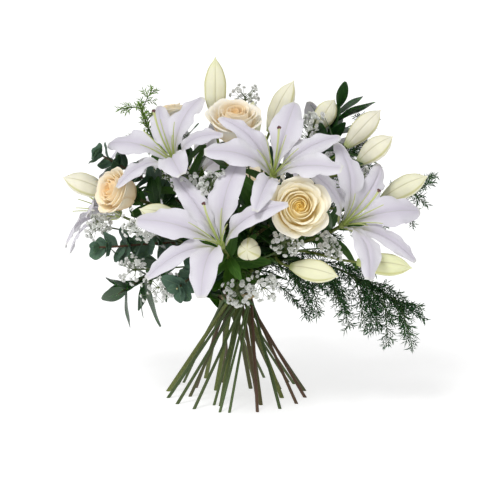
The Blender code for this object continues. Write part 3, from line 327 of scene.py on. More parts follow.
def stem_curves():
    """For each stem and branch: its foot, points above the shoulder, radius and parent."""
    plan = stem_plan()
    azimuths = waist_azimuths(plan)
    feet, curves, radii, parents = {}, {}, {}, {}
    for name, ring, radius, top, direction in plan:
        waist, along = waist_line(ring, azimuths[name], radius)
        feet[name] = waist - along * waist[2] / along[2]
        shoulder = waist + along * STRAIGHT_ABOVE_WAIST / along[2]
        end = np.asarray(top, float) - unit(direction) * GAP
        curves[name] = rising_curve(shoulder, along, end, direction)
        radii[name] = radius
    for name, (_, _, branches) in LILY_STEMS.items():
        for head, share in branches:
            base, direction = head_place(head)
            key = f"{name}>{head}"
            parents[key] = (name, round(share * (CURVE_POINTS - 1)))
            add_branch(key, curves, parents, base - direction * GAP, direction)
            radii[key] = PEDICEL / 2
    for name, stems in GYPSOPHILA.items():
        for number, clouds in enumerate(stems):
            for cloud in clouds[1:]:
                parent = f"{name}:{number}"
                key = f"{parent}>cloud"
                parents[key] = (parent, 10)
                end = np.array(cloud, float)
                add_branch(key, curves, parents, end, end - curves[parent][10])
                radii[key] = TWIG / 2
    return feet, curves, radii, parents


def add_branch(key, curves, parents, end, direction):
    parent, index = parents[key]
    start = curves[parent][index]
    along = unit(curves[parent][index + 1] - curves[parent][index - 1])
    curves[key] = rising_curve(start, unit(along + unit(end - start)), end, direction)


def head_spheres():
    """Round stand-ins for the heads, as owner, middle and radius, which stems bend round."""
    spheres = []
    for name, (base, axis, _, _) in LILIES.items():
        base, axis = np.array(base, float), unit(axis)
        spheres += [(name, base + axis * 8, 9.0), (name, base + axis * 24, 17.0)]
    for name, (base, axis, radius) in ROSES.items():
        base, axis = np.array(base, float), unit(axis)
        spheres.append((name, base + axis * radius * 0.75, radius * 1.05))
    for name, (base, tip) in BUDS.items():
        base, tip = np.array(base, float), np.array(tip, float)
        for share, size in ((0.25, 0.42), (0.5, 0.52), (0.75, 0.42)):
            spheres.append((name, base + (tip - base) * share, BUD_WIDTH * size))
    return spheres


class Bundle:
    """The stems and branches as rows of points, which are pushed apart smoothly."""

    def __init__(self, curves, radii, parents):
        self.names = list(curves)
        self.number = {name: index for index, name in enumerate(self.names)}
        self.parents = parents
        self.home = np.stack([curves[name] for name in self.names])
        self.shift = np.zeros_like(self.home)
        thick = np.array([radii[name] for name in self.names])
        spheres = head_spheres()
        self.middles = np.array([middle for _, middle, _ in spheres])
        count = len(self.names)
        need = thick[:, None, None, None] + thick[:, None] + CLEARANCE
        self.stem_need = np.tile(need, (1, CURVE_POINTS, 1, CURVE_POINTS))
        self.head_need = thick[:, None] + np.array([size for _, _, size in spheres]) + 1.0
        self.stem_need[np.arange(count), :, np.arange(count)] = 0
        for key, (parent, _) in parents.items():
            a, b = self.number[key], self.number[parent]
            self.stem_need[a, :FORK_POINTS, b] = self.stem_need[b, :, a, :FORK_POINTS] = 0
        for row, name in enumerate(self.names):
            own = {name.split(">")[-1], name.replace("_stem", "")}
            if name in LILY_STEMS:
                own = {LILY_STEMS[name][1]}
            self.head_need[row, [owner in own for owner, _, _ in spheres]] = 0

    def widen(self, crossing):
        """Keeps the stems of each of these pairs, and their branches, further apart."""
        roots = np.array([name.split(">")[0] for name in self.names])
        for first, second in crossing:
            pairs = np.outer(roots == first, roots == second)
            self.stem_need += CLEARANCE_STEP * (pairs | pairs.T)[:, None, :, None]

    def relax(self, rounds):
        """Bends the curves sideways until stems and heads are as far apart as they need."""
        free = np.ones((1, CURVE_POINTS, 1))
        free[:, :2] = free[:, -2:] = 0
        for _ in range(rounds):
            for key, (parent, index) in self.parents.items():
                self.shift[self.number[key], :2] = self.shift[self.number[parent], index]
            now = self.home + self.shift
            from_stems = now[:, :, None, None, :] - now[None, None]
            from_heads = now[:, :, None, :] - self.middles
            push = pushes(from_stems, self.stem_need).sum(axis=(2, 3)) * 0.5
            push += pushes(from_heads, self.head_need[:, None, :]).sum(axis=2)
            size = np.linalg.norm(push, axis=-1, keepdims=True)
            push *= np.minimum(1, 3.0 / np.maximum(size, 1e-9))
            self.shift += push * free * 0.6
            smooth = self.shift.copy()
            smooth[:, 1:-1] = (self.shift[:, :-2] + 2 * self.shift[:, 1:-1] + self.shift[:, 2:]) / 4
            self.shift = np.where(free > 0, smooth, self.shift)

    def curves(self):
        return dict(zip(self.names, self.home + self.shift))


def pushes(away, need):
    """How far to move points so that none is nearer than it needs to be."""
    distance = np.sqrt((away * away).sum(axis=-1)) + 1e-9
    short = np.maximum(need - distance, 0)
    return away * (short / distance)[..., None]


def settled_curves():
    """The source's own stems: feet, curves above the shoulder, radii and parents."""
    feet, curves, radii, parents = stem_curves()
    bundle = Bundle(curves, radii, parents)
    bundle.relax(RELAX_ROUNDS)
    for number in range(max(FURTHER_APART.values())):
        bundle.widen([pair for pair, rounds in FURTHER_APART.items() if rounds > number])
        bundle.relax(MORE_ROUNDS)
    return feet, bundle.curves(), radii, parents


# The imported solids, as surfaces to lay the fine pieces along.

def cad_points(name):
    """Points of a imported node, in millimetres from the middle of the bundle."""
    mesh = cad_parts[name].data
    points = np.empty(len(mesh.vertices) * 3, np.float32)
    mesh.vertices.foreach_get("co", points)
    return points.reshape(-1, 3).astype(float) / MM - BUNDLE


def cad_tree(name):
    faces = [tuple(polygon.vertices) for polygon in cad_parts[name].data.polygons]
    return BVHTree.FromPolygons([tuple(p) for p in cad_points(name)], faces)


def mean_distance(tree, points):
    return float(np.mean([tree.find_nearest(Vector(p))[3] for p in np.reshape(points, (-1, 3))]))


class Blooms:
    """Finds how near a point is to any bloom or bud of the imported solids."""

    def __init__(self):
        points, faces = [], []
        for name in [*LILIES, *BUDS, *ROSES, *(lily + "_centre" for lily in LILIES)]:
            start = len(points)
            points += [tuple(p) for p in cad_points(name)]
            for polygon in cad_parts[name].data.polygons:
                faces.append([start + i for i in polygon.vertices])
        self.tree = BVHTree.FromPolygons(points, faces)

    def near(self, point, distance):
        return self.tree.find_nearest(Vector(point), distance)[0] is not None

    def clear(self, points, distance):
        return not any(self.near(p, distance) for p in np.reshape(points, (-1, 3)))


def in_box(point):
    """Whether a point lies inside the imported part's box."""
    low, high = (np.array(corner) / MM - BUNDLE for corner in CAD_BOX)
    return bool(((point > low + 1) & (point < high - 1)).all())


# Building pieces.

def unit_rows(vectors):
    return vectors / np.maximum(np.linalg.norm(vectors, axis=-1, keepdims=True), 1e-9)


def grid_faces(rows, columns, wrapped=False):
    """Quads between the rows of a grid of points."""
    wide = columns if wrapped else columns - 1
    i, j = np.meshgrid(np.arange(rows - 1), np.arange(wide), indexing="ij")
    k = (j + 1) % columns
    low, high = i * columns, (i + 1) * columns
    return np.stack([low + j, low + k, high + k, high + j], -1).reshape(-1, 4)


def rim_loop(rows, columns):
    """The border of a grid of points, in order, as indices."""
    first = np.arange(columns)
    right = np.arange(rows) * columns + columns - 1
    last = (rows - 1) * columns + np.arange(columns)[::-1]
    left = (np.arange(rows) * columns)[::-1]
    return np.concatenate([first[:-1], right[:-1], last[:-1], left[:-1]])


class Piece:
    """Gathers the points and faces of one piece.

    Each corner of a face has a place on the grain, which the materials read as their texture
    coordinate, and each point a tint, which sets where its colour lies in a material's range.
    """

    def __init__(self):
        self.points = []
        self.tints = []
        self.faces = []
        self.grains = []
        self.kinds = []
        self.count = 0

    def add(self, points, faces, grain, tint=0.0, kind=0):
        points = np.asarray(points, float).reshape(-1, 3)
        faces = np.asarray(faces, int)
        if grain.ndim == 2:
            grain = grain[faces]
        self.points.append(points)
        self.tints.append(np.broadcast_to(tint, (len(points),)).astype(float))
        self.faces.append(faces + self.count)
        self.grains.append(grain)
        self.kinds.append(np.full(len(faces), kind))
        self.count += len(points)

    def sheet(self, points, thickness, tint=0.0, kind=0):
        """A closed thin sheet about a grid of points, thinner towards its sides and tip."""
        rows, columns = points.shape[:2]
        normal = unit_rows(np.cross(np.gradient(points, axis=0), np.gradient(points, axis=1)))
        q, c = np.meshgrid(np.linspace(0, 1, rows), np.linspace(-1, 1, columns), indexing="ij")
        half = thickness / 2 * (1 - 0.7 * np.abs(c) ** 4) * (1 - 0.5 * q**6)
        both = np.concatenate([points + normal * half[..., None], points - normal * half[..., None]])
        count = rows * columns
        top = grid_faces(rows, columns)
        loop = rim_loop(rows, columns)
        following = np.roll(loop, -1)
        rim = np.stack([loop, following, following + count, loop + count], -1)
        faces = np.concatenate([top[:, ::-1], top + count, rim])
        grain = np.stack([(c + 1) / 2, q], -1).reshape(-1, 2)
        tints = np.broadcast_to(tint, (rows, columns)).reshape(-1)
        self.add(both, faces, np.tile(grain, (2, 1)), np.tile(tints, 2), kind)

    def tube(self, points, radii, sides, tint=0.0, kind=0, cut=None, level=False):
        """A round stem along points. With level, its first end is cut level with the ground."""
        points = np.asarray(points, float)
        directions = unit_rows(np.gradient(points, axis=0))
        radii = np.broadcast_to(radii, (len(points),))
        side = facing(directions[0])[1]
        turns = np.arange(sides) * 2 * math.pi / sides
        rings = []
        for centre, direction, radius in zip(points, directions, radii):
            side = unit(side - direction * (side @ direction))
            other = np.cross(direction, side)
            around = np.cos(turns)[:, None] * side + np.sin(turns)[:, None] * other
            rings.append(centre + radius * around)
        if level:
            drop = (rings[0][:, 2] - points[0][2]) / directions[0][2]
            rings[0] = rings[0] - directions[0] * drop[:, None]
        self.rings(np.array(rings), tint, kind, cut)

    def rings(self, rings, tint=0.0, kind=0, cut=None):
        """A closed skin over rings of points, with both ends capped."""
        count, sides = rings.shape[:2]
        steps = np.linalg.norm(np.diff(rings.mean(axis=1), axis=0), axis=1)
        along = np.concatenate([[0], np.cumsum(steps)]) / 100
        faces = grid_faces(count, sides, wrapped=True)
        row, column = faces[:, 0] // sides, faces[:, 0] % sides
        u = np.stack([column, column + 1, column + 1, column], -1) / sides
        v = np.stack([along[row], along[row], along[row + 1], along[row + 1]], -1)
        tints = np.repeat(np.broadcast_to(tint, (count,)), sides)
        flat = rings.reshape(-1, 3)
        self.add(flat, faces, np.stack([u, v], -1), tints, kind)
        start = self.count - len(flat)
        k = np.arange(1, sides - 1)
        last = (count - 1) * sides
        low = np.stack([np.zeros_like(k), k + 1, k], -1)
        high = np.stack([np.full_like(k, last), last + k, last + k + 1], -1)
        caps = np.concatenate([low, high])
        angle = 2 * math.pi * (caps % sides) / sides
        grain = 0.5 + 0.5 * np.stack([np.cos(angle), np.sin(angle)], -1)
        self.faces.append(caps + start)
        self.grains.append(grain)
        self.kinds.append(np.full(len(caps), kind if cut is None else cut))

    def copies(self, shape, places, forwards, sizes, tints, kind=0, rolls=None):
        """Many copies of a small closed shape, its Z along each of the forward directions."""
        points, faces = shape
        places, sizes = np.asarray(places, float), np.asarray(sizes, float)
        forwards = unit_rows(np.asarray(forwards, float))
        if rolls is None:
            rolls = np.arange(len(places)) * 2.4
        level = np.where(np.abs(forwards[:, 2:]) < 0.9, (0.0, 0.0, 1.0), (0.0, 1.0, 0.0))
        first = unit_rows(np.cross(level, forwards))
        second = np.cross(forwards, first)
        x = first * np.cos(rolls)[:, None] + second * np.sin(rolls)[:, None]
        y = np.cross(forwards, x)
        axes = np.stack([x, y, forwards], 1)
        moved = places[:, None] + np.einsum("npk,nkj->npj", points[None] * sizes[:, None], axes)
        low, high = (np.array(corner) / MM - BUNDLE for corner in CAD_BOX)
        inside = ((moved > low) & (moved < high)).all(axis=(1, 2))
        moved, tints = moved[inside], np.broadcast_to(tints, (len(inside),))[inside]
        if not len(moved):
            return
        shifts = np.arange(len(moved))[:, None, None] * len(points)
        every = (faces[None] + shifts).reshape(-1, faces.shape[1])
        grain = np.tile(points[:, 1:], (len(moved), 1))
        self.add(moved.reshape(-1, 3), every, grain, np.repeat(tints, len(points)), kind)

    def mesh(self, name, materials):
        points = np.clip((np.concatenate(self.points) + BUNDLE) * MM, *CAD_BOX)
        mesh = bpy.data.meshes.new(name)
        faces = [face for block in self.faces for face in block.tolist()]
        mesh.from_pydata(points.tolist(), [], faces)
        grain = np.concatenate([block.reshape(-1, 2) for block in self.grains])
        mesh.uv_layers.new(name="grain").data.foreach_set("uv", grain.reshape(-1).astype(np.float32))
        tint = mesh.attributes.new("tint", "FLOAT", "POINT")
        tint.data.foreach_set("value", np.concatenate(self.tints).astype(np.float32))
        for material in materials:
            mesh.materials.append(material)
        mesh.polygons.foreach_set("material_index", np.concatenate(self.kinds).astype(np.int32))
        mesh.shade_smooth()
        mesh.set_sharp_from_angle(angle=math.radians(60))
        mesh.update()
        return mesh


def make_piece(node, piece, materials):
    """One piece of the scene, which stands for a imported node."""
    obj = bpy.data.objects.new(node + "_fine", piece.mesh(node + "_fine", materials))
    bpy.context.scene.collection.objects.link(obj)
    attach(obj, "root")
    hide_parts(node)


# Small shapes that are copied many times: a needle, a floret's petal, a hip.

def spindle(sides, widest):
    """A needle from the origin to Z = 1, its widest part at this share."""
    turns = np.arange(sides) * 2 * math.pi / sides
    ring = np.stack([np.cos(turns) / 2, np.sin(turns) / 2, np.full(sides, widest)], -1)
    points = np.concatenate([[(0, 0, 0)], ring, [(0, 0, 1)]])
    faces = []
    for k in range(sides):
        following = (k + 1) % sides
        faces += [(0, 1 + following, 1 + k), (sides + 1, 1 + k, 1 + following)]
    return points, np.array(faces)


def petal_shape():
    """A small rounded petal along Z, 1 long and 1 wide, hollowed on its +Y side."""
    right, left = ((0.34, 0.05, 0.45), (0.42, 0.1, 0.8)), ((-0.42, 0.1, 0.8), (-0.34, 0.05, 0.45))
    under, over = (0, -0.16, 0.62), (0, -0.05, 0.62)
    points = np.array([(0, 0, 0), *right, (0, 0.22, 1.0), *left, under, over], float)
    faces = []
    for k in range(6):
        following = (k + 1) % 6
        faces += [(6, k, following), (7, following, k)]
    return points, np.array(faces)


# Blooms.

def arc(q, length, angles, stops=None):
    """Reach, rise and lean at share q of a centreline that leans from its axis by these angles."""
    steps = np.linspace(0, 1, 161)
    stops = np.linspace(0, 1, len(angles)) if stops is None else stops
    lean = np.radians(np.interp(steps, stops, angles))
    middle = (lean[1:] + lean[:-1]) / 2
    reach = np.concatenate([[0], np.cumsum(np.sin(middle))]) * length / 160
    rise = np.concatenate([[0], np.cumsum(np.cos(middle))]) * length / 160
    return np.interp(q, steps, reach), np.interp(q, steps, rise), np.interp(q, steps, lean)


def tepal(base, axis, clock, length, kind, bend, phase, blunt=0.75):
    """The surface of one lily tepal: a channel at its foot, waved and bent back further out.

    Kind 0 is one of the three broad tepals, and kind 1 one of the narrow ones behind them.
    """
    tip_angle, sideways, share = bend
    width, cup, level = TEPAL_WIDTHS[kind], TEPAL_CUPS[kind], TEPAL_LEVELS[kind]
    axis = unit(axis)
    out, across = clock_direction(axis, clock)
    base = np.asarray(base, float)
    angles = [angle + tip_angle * (k / 4) ** 1.5 for k, angle in enumerate(TEPAL_ANGLES)]

    def surface(q, c):
        reach, rise, lean = arc(q, length * share, angles)
        half = width / 2 * np.sin(math.pi * (0.04 + 0.93 * np.clip(q, 0, 1) ** 0.9)) ** blunt
        half = np.minimum(half, (0.25 + 0.27 * np.clip(q / 0.34, 0, 1)) * (THROAT_RADIUS + reach))
        wave = 2.4 * np.abs(c) ** 3 * np.sin(15 * q + phase + 1.3 * np.sign(c)) * (4 * q * (1 - q))
        lift = cup * half * c * c * (1 - q) ** 1.4 - 0.30 * half * c * c * q**2 + wave
        lift = lift - 1.1 * np.exp(-((c / 0.16) ** 2)) * (1 - q) ** 0.5
        x = THROAT_RADIUS + reach - np.cos(lean) * lift
        z = level + rise + np.sin(lean) * lift
        y = c * half + sideways * q * q
        return base + x[..., None] * out + z[..., None] * axis + y[..., None] * across

    return surface


def fine_tepal(surface, rng):
    """A tepal's grid of points, with a rippled border, a groove down its middle and a rib on each side
    of it.
    """
    rows, columns = 40, 17
    q, c = np.meshgrid(np.linspace(0.0, 1, rows), np.linspace(-1, 1, columns), indexing="ij")
    points = surface(q, c)
    normal = unit_rows(np.cross(np.gradient(points, axis=0), np.gradient(points, axis=1)))
    phase = rng.uniform(0, 6)
    border = np.abs(c) ** 5 * np.clip(6 * q * (1 - q), 0, 1)
    ripple = border * (1.7 * np.sin(24 * q + phase + c) + 0.7 * np.sin(43 * q + 2 * phase))
    groove = -1.4 * np.exp(-((c / 0.09) ** 2)) * (1 - q * q) * np.clip(q / 0.1, 0, 1)
    rib = 0.9 * (np.exp(-(((np.abs(c) - 0.27) / 0.12) ** 2))) * (1 - q * q)
    return points + normal * (ripple + groove + rib)[..., None]


def lily(name, rng):
    """A lily bloom: its short throat and six tepals."""
    base, axis, length, clocks = LILIES[name]
    base, axis = np.array(base, float), unit(axis)
    tree = cad_tree(name)
    piece = Piece()
    places = np.linspace(0, THROAT_HEIGHT, 7)
    radii = THROAT_RADIUS - 0.8 + 0.8 * places / THROAT_HEIGHT
    piece.tube(base + axis * places[:, None], radii, 24, 0.2, 1)
    q, c = np.meshgrid(np.array(TEPAL_ROWS[1:]), np.array((-1.0, 0.0, 1.0)), indexing="ij")
    for index, clock in enumerate(clocks):
        tries = []
        for bend in TEPAL_BENDS:
            surface = tepal(base, axis, clock, length, index % 2, bend, 1.7 * index)
            tries.append((mean_distance(tree, surface(q, c)), bend))
        bend = min(tries)[1]
        surface = tepal(base, axis, clock, length, index % 2, bend, 1.7 * index, blunt=0.6)
        piece.sheet(fine_tepal(surface, rng), TEPAL_THICKNESS * 0.85, rng.uniform(0, 1))
    return piece


def lily_centre(name, rng):
    """The style with its three-lobed stigma, and six filaments, whose anthers are cut off."""
    base, axis, _, _ = LILIES[name]
    axis, up, _ = facing(axis)
    foot = np.array(base, float) + axis * (THROAT_HEIGHT + GAP)
    style = bezier(foot, foot + axis * 25, foot + axis * 50 + up * 2, foot + axis * 74 + up * 12, 40)
    share = np.linspace(0, 1, 40)
    radii = np.interp(share, (0, 0.05, 0.1, 0.5, 0.93, 1.0), (3.0, 2.6, 1.3, 1.05, 1.3, 2.0))
    piece = Piece()
    piece.tube(style, radii, 14, share, 0)
    curve = Curve(style)
    end, along = style[-1], curve.direction(curve.length)
    stigma(piece, end - along * 1.6, along)
    solid_side = facing(axis)[1]
    for k in range(6):
        turn = math.radians(30 + 60 * k)
        out = solid_side * math.cos(turn) + np.cross(axis, solid_side) * math.sin(turn)
        start = foot + axis * 1.5 + out * 2.0
        leave, arrive = start + out * 4 + axis * 10, start + out * 12 + axis * 32
        line = bezier(start, leave, arrive, start + out * 23 + axis * 47, 22)
        sway = rng.uniform(-1.2, 1.2) * np.cross(axis, out)
        line = line + np.linspace(0, 1, 22)[:, None] ** 2 * sway
        piece.tube(line, np.linspace(1.05, 0.5, 22), 8, np.linspace(0.1, 0.8, 22), 0)
    return piece


def stigma(piece, place, along):
    """Three rounded lobes at the end of the style."""
    along, up, right = facing(along)
    turns = np.linspace(0, 2 * math.pi, 30, endpoint=False)
    rings = []
    for height, size in ((0, 0.5), (0.8, 0.86), (1.8, 1.0), (2.8, 0.93), (3.4, 0.66), (3.7, 0.25)):
        radius = 2.9 * size * (0.8 + 0.2 * np.cos(3 * turns))
        ring = place + along * height
        ring = ring + radius[:, None] * (np.cos(turns)[:, None] * up + np.sin(turns)[:, None] * right)
        rings.append(ring)
    # A ring turns anticlockwise about the direction in which the rings follow each other.
    piece.rings(np.array(rings)[:, ::-1], 0.5, 1)


def smoothed(share, table):
    """A table of places and values, read at these shares and rounded off."""
    places, values = zip(*table)
    offsets = np.linspace(-0.06, 0.06, 9)
    return np.mean([np.interp(share + offset, places, values) for offset in offsets], axis=0)


def bud(name, rng):
    """A lily bud: six tepals still shut, with ribs down the three outer ones."""
    base, tip = (np.array(p, float) for p in BUDS[name])
    length = np.linalg.norm(tip - base) * BUD_PROFILE[-1][0]
    axis, up, right = facing(tip - base)
    share = np.linspace(0, 1, 40)
    size = smoothed(share, (*BUD_PROFILE, (1.0, 0.12), (1.2, 0.0)))
    size = size * (1 - share**14)
    size[-1] = 0.02
    turns = np.linspace(0, 2 * math.pi, 48, endpoint=False)
    rings = []
    for along, wide in zip(share, size):
        twisted = turns
        ridge = np.exp(-((((twisted + 0.6) % (2 * math.pi / 3)) - 0.6) / 0.16) ** 2)
        seam = np.exp(-((((twisted + 1.05 + 0.6) % (2 * math.pi / 3)) - 0.6) / 0.07) ** 2)
        out = 1.0 + 0.07 * np.cos(3 * twisted) + 0.05 * ridge - 0.07 * seam
        radius = BUD_WIDTH / 2 * wide * out
        ring = base + axis * length * along
        # Up and right turn clockwise about the axis, so that the angle runs the other way.
        ring = ring + radius[:, None] * (np.cos(turns)[:, None] * up - np.sin(turns)[:, None] * right)
        rings.append(ring)
    piece = Piece()
    piece.rings(np.array(rings), rng.uniform(0.2, 0.8) if name != "bud_8" else 1.0, 0)
    return piece


# Rose petals, from the outside in: how many, clock angle of the first, half width in degrees,
# length as a share of the radius, angles from the axis, and where they start on the core.
ROSE_WHORLS = (
    (5, 0, 46, 1.40, (84, 46, 20, 16, 26, 52, 88), 0.05, 0.215),
    (5, 36, 48, 1.37, (80, 40, 15, 10, 16, 38, 74), 0.09, 0.225),
    (4, 30, 60, 1.33, (70, 32, 10, 4, 6, 22, 60), 0.13, 0.235),
    (4, 80, 60, 1.29, (62, 26, 5, -2, -3, 8, 46), 0.16, 0.24),
    (3, 10, 76, 1.25, (56, 20, 2, -5, -9, -4, 34), 0.19, 0.245),
    (3, 70, 76, 1.20, (50, 15, -1, -7, -13, -10, 26), 0.22, 0.245),
    (3, 25, 78, 1.14, (46, 11, -3, -9, -16, -14, 20), 0.25, 0.235),
    (3, 90, 80, 1.08, (40, 8, -4, -10, -17, -18, 30), 0.27, 0.215),
    (3, 40, 84, 1.03, (33, 5, -5, -10, -16, -18, 14), 0.29, 0.185),
    (3, 0, 90, 0.99, (26, 3, -5, -9, -14, -16, 4), 0.30, 0.15),
    (3, 60, 100, 0.96, (19, 1, -4, -7, -11, -12, 0), 0.30, 0.115),
    (2, 20, 120, 0.93, (12, 0, -3, -5, -8, -9, -2), 0.30, 0.08),
    (1, 30, 165, 0.91, (5, 0, -1, -2, -4, -4, -2), 0.30, 0.045),
)
ROSE_STOPS = (0.0, 0.2, 0.4, 0.6, 0.8, 0.91, 1.0)


def rose_grid(name, whorl, number, rng):
    """The points of one rose petal, whose one side tucks under the next petal."""
    base, axis, radius = ROSES[name]
    count, first, half_width, length, angles, height, start = ROSE_WHORLS[whorl]
    axis, up, right = facing(axis)
    outer = max(0.0, 1 - whorl / 7)
    clock = first + 360 / count * number + rng.uniform(-7, 7) * (whorl > 0)
    length = length * radius * (1 + rng.uniform(-0.06, 0.02))
    lean = rng.uniform(-4, 3) * (whorl > 0)
    angles = [angle + lean + rng.uniform(-3, 3) for angle in angles]
    angles[-1] += rng.uniform(-30, 20) * outer
    q, c = np.meshgrid(1 - (1 - np.linspace(0, 1, 17)) ** 1.35, np.linspace(-1, 1, 13), indexing="ij")
    shorter = 1 - 0.07 * c * c * q - 0.10 * c**6 * q
    reach, rise, _ = arc(q * shorter, length, angles, ROSE_STOPS)
    spread = math.radians(half_width) * (0.45 + 0.55 * np.sin(math.pi / 2 * np.clip(q / 0.6, 0, 1)))
    spread = spread * (1 - 0.12 * np.clip(q - 0.75, 0, 1) / 0.25)
    turn = math.radians(clock) - c * spread
    tuck = radius * 0.04 * c * np.clip(q / 0.3, 0, 1)
    phase = rng.uniform(0, 6)
    wave = 0.035 * q**4 * np.sin(2.6 * c + phase) + 0.016 * q**8 * np.sin(8 * c + 2 * phase)
    wave = radius * wave
    out = start * radius + reach + tuck + wave * outer
    around = np.cos(turn)[..., None] * up + np.sin(turn)[..., None] * right
    centre = np.asarray(base, float) + (height * radius + rise + 0.7 * wave)[..., None] * axis
    return centre + np.maximum(out, 0.6)[..., None] * around


def rose(name, rng):
    base, axis, radius = ROSES[name]
    base, axis = np.array(base, float), unit(axis)
    piece = Piece()
    heights, widths = (np.array(column) * radius for column in zip(*ROSE_CORE[:4]))
    piece.tube(base + axis * heights[:, None], widths * 0.93, 24, 0.0, 1)
    for whorl, (count, *_) in enumerate(ROSE_WHORLS):
        for number in range(count):
            tint = whorl / (len(ROSE_WHORLS) - 1) + rng.uniform(-0.05, 0.05)
            piece.sheet(rose_grid(name, whorl, number, rng), PETAL_THICKNESS * 0.6, tint)
    return piece


# Leaves.

def leaf(base, direction, face, length, width, bow):
    """The surface of a leaf that starts along direction, with its upper side towards face."""
    direction = unit(direction)
    face = unit(face - direction * (face @ direction))
    across = np.cross(face, direction)

    def surface(q, c):
        half = width / 2 * np.sin(math.pi * (0.05 + 0.91 * np.clip(q, 0, 1) ** 0.9)) ** 0.8
        forward = length * (q - 0.12 * bow * q**2)
        lift = 0.10 * np.abs(c) * half - bow * length * 0.5 * q * q
        y = c * half
        return base + forward[..., None] * direction + lift[..., None] * face + y[..., None] * across

    return surface


def leaf_nodes(length, kind):
    first = max(length * kind["first"], WAIST_HEIGHT * 1.15 + 45)
    return list(np.arange(first, length - 1.5, kind["spacing"]))


def side_frames(curve, place, sides):
    """Outward directions of a packed stem's side faces at this place along it."""
    side = facing(curve.direction(0))[1]
    for at in np.linspace(0, place, max(3, int(place / 12))):
        direction = curve.direction(at)
        side = unit(side - direction * (side @ direction))
    other = np.cross(direction, side)
    turns = (np.arange(sides) + 0.5) * 2 * math.pi / sides
    return [side * math.cos(turn) + other * math.sin(turn) for turn in turns]


def packed_leaves(tree, curve, places, sides, radius, kind):
    """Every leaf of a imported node: where it starts, its direction, its face and its size."""
    found = []
    for place in places:
        forward = curve.direction(place)
        left_over = (curve.length - place) / (curve.length * (1 - kind["first"]))
        size = 0.72 + 0.28 * math.sin(math.pi * min(1.0, 0.25 + left_over * 0.75))
        for outward in side_frames(curve, place, sides):
            start = curve.at(place) + outward * radius * math.cos(math.pi / sides)
            best = fitted_leaf(tree, start, outward, forward, size, kind)
            if best[0] < 1.2:
                found.append((start, best[1], forward, size))
    return found


def fitted_leaf(tree, start, outward, forward, size, kind):
    """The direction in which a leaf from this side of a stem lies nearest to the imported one."""
    sideways = np.cross(forward, outward)
    length, width = kind["length"] * size, kind["width"] * size
    q = np.array(kind["rows"][1:])
    best = (1e9, None)
    for sway in (0.0, 0.35, -0.35, 0.7, -0.7, 1.1, -1.1):
        for lean in (0.37, 0.45, 0.53, 0.61, 0.69, 0.74):
            direction = unit(outward + forward * lean + sideways * sway)
            surface = leaf(start, direction, forward, length, width, kind["bow"])
            distance = mean_distance(tree, surface(q, np.zeros_like(q)))
            if distance < best[0]:
                best = (distance, direction)
    return best


def fine_leaf(piece, start, direction, face, kind, size, rng, thickness=LEAF_THICKNESS, toothed=False):
    """A leaf with a sunken midrib and a slightly waved border."""
    length, width = kind["length"] * size, kind["width"] * size
    surface = leaf(start, direction, face, length, width, kind["bow"])
    rows, columns = 14, 7
    q, c = np.meshgrid(np.linspace(0, 1, rows), np.linspace(-1, 1, columns), indexing="ij")
    points = surface(q, c)
    normal = unit_rows(np.cross(np.gradient(points, axis=0), np.gradient(points, axis=1)))
    phase = rng.uniform(0, 6)
    wave = 0.035 * width * np.abs(c) ** 3 * np.sin(9 * q + phase + np.sign(c))
    rib = 0.45 * np.exp(-((c / 0.1) ** 2)) * (1 - 0.7 * q)
    points = points + normal * (wave + rib)[..., None]
    if toothed:
        teeth = 0.045 * np.abs(c) ** 8 * (np.sin(q * 90) > 0)
        points = points + (points - points[:, columns // 2][:, None]) * teeth[..., None]
    piece.sheet(points, thickness, rng.uniform(0, 1), 1)


def stem_line(foot, points, extra=0.0):
    """A smooth line of points up a stem, from its cut end to its top."""
    curve = Curve([foot, *points])
    places = np.linspace(0, curve.length, 70)
    line = np.array([curve.at(place) for place in places])
    line[1:-1] = (line[:-2] + 2 * line[1:-1] + line[2:]) / 4
    if extra:
        line = np.concatenate([line, [line[-1] + curve.direction(curve.length) * extra]])
    return line, curve


def grow_stem(piece, foot, points, radius, top_radius, tint, extra=0.0, sides=12, knots=()):
    """A stem from the ground up, a little thicker at its knots."""
    line, curve = stem_line(foot, points, extra)
    radii = np.linspace(radius, top_radius, len(line))
    places = np.linspace(0, curve.length, len(line))
    for knot in knots:
        radii = radii * (1 + 0.22 * np.exp(-(((places - knot) / 2.6) ** 2)))
    piece.tube(line, radii, sides, tint, 0, cut=2, level=True)
    return curve


def grow_branch(piece, points, radius, top_radius, tint, extra=0.0, sides=9):
    curve = Curve(points)
    line = np.array([curve.at(place) for place in np.linspace(0, curve.length, 34)])
    if extra:
        line = np.concatenate([line, [line[-1] + curve.direction(curve.length) * extra]])
    radii = np.linspace(radius, top_radius, len(line))
    piece.tube(line, radii, sides, tint, 0)
    return curve


def lily_stem(name, stems, rng, blooms):
    feet, curves, radii, parents = stems
    piece = Piece()
    radius = radii[name]
    curve = grow_stem(piece, feet[name], curves[name], radius, radius * 0.8, rng.uniform(0, 0.3), 1.5)
    branches = [key for key, (parent, _) in parents.items() if parent == name]
    for key in branches:
        grow_branch(piece, curves[key], radii[key] * 0.95, radii[key] * 0.8, 0.15, 1.5, 10)
    forks = [curve.places[parents[key][1] + 1] for key in branches]
    places = [place for place in leaf_nodes(curve.length * 0.92, LILY_LEAF)
              if all(abs(place - fork) > 9 for fork in forks)]
    add_leaves(piece, name, curve, places, 5, radius * 0.9, LILY_LEAF, rng)
    more_leaves(piece, curve, {**LILY_LEAF, "width": 17}, curve.length * 0.42, 8.5, 1.0, rng, blooms)
    return piece


def add_leaves(piece, name, curve, places, sides, radius, kind, rng, toothed=False):
    found = packed_leaves(cad_tree(name), curve, places, sides, radius, kind)
    for start, direction, face, size in found:
        fine_leaf(piece, start - direction * 0.8, direction, face, kind, size, rng, toothed=toothed)


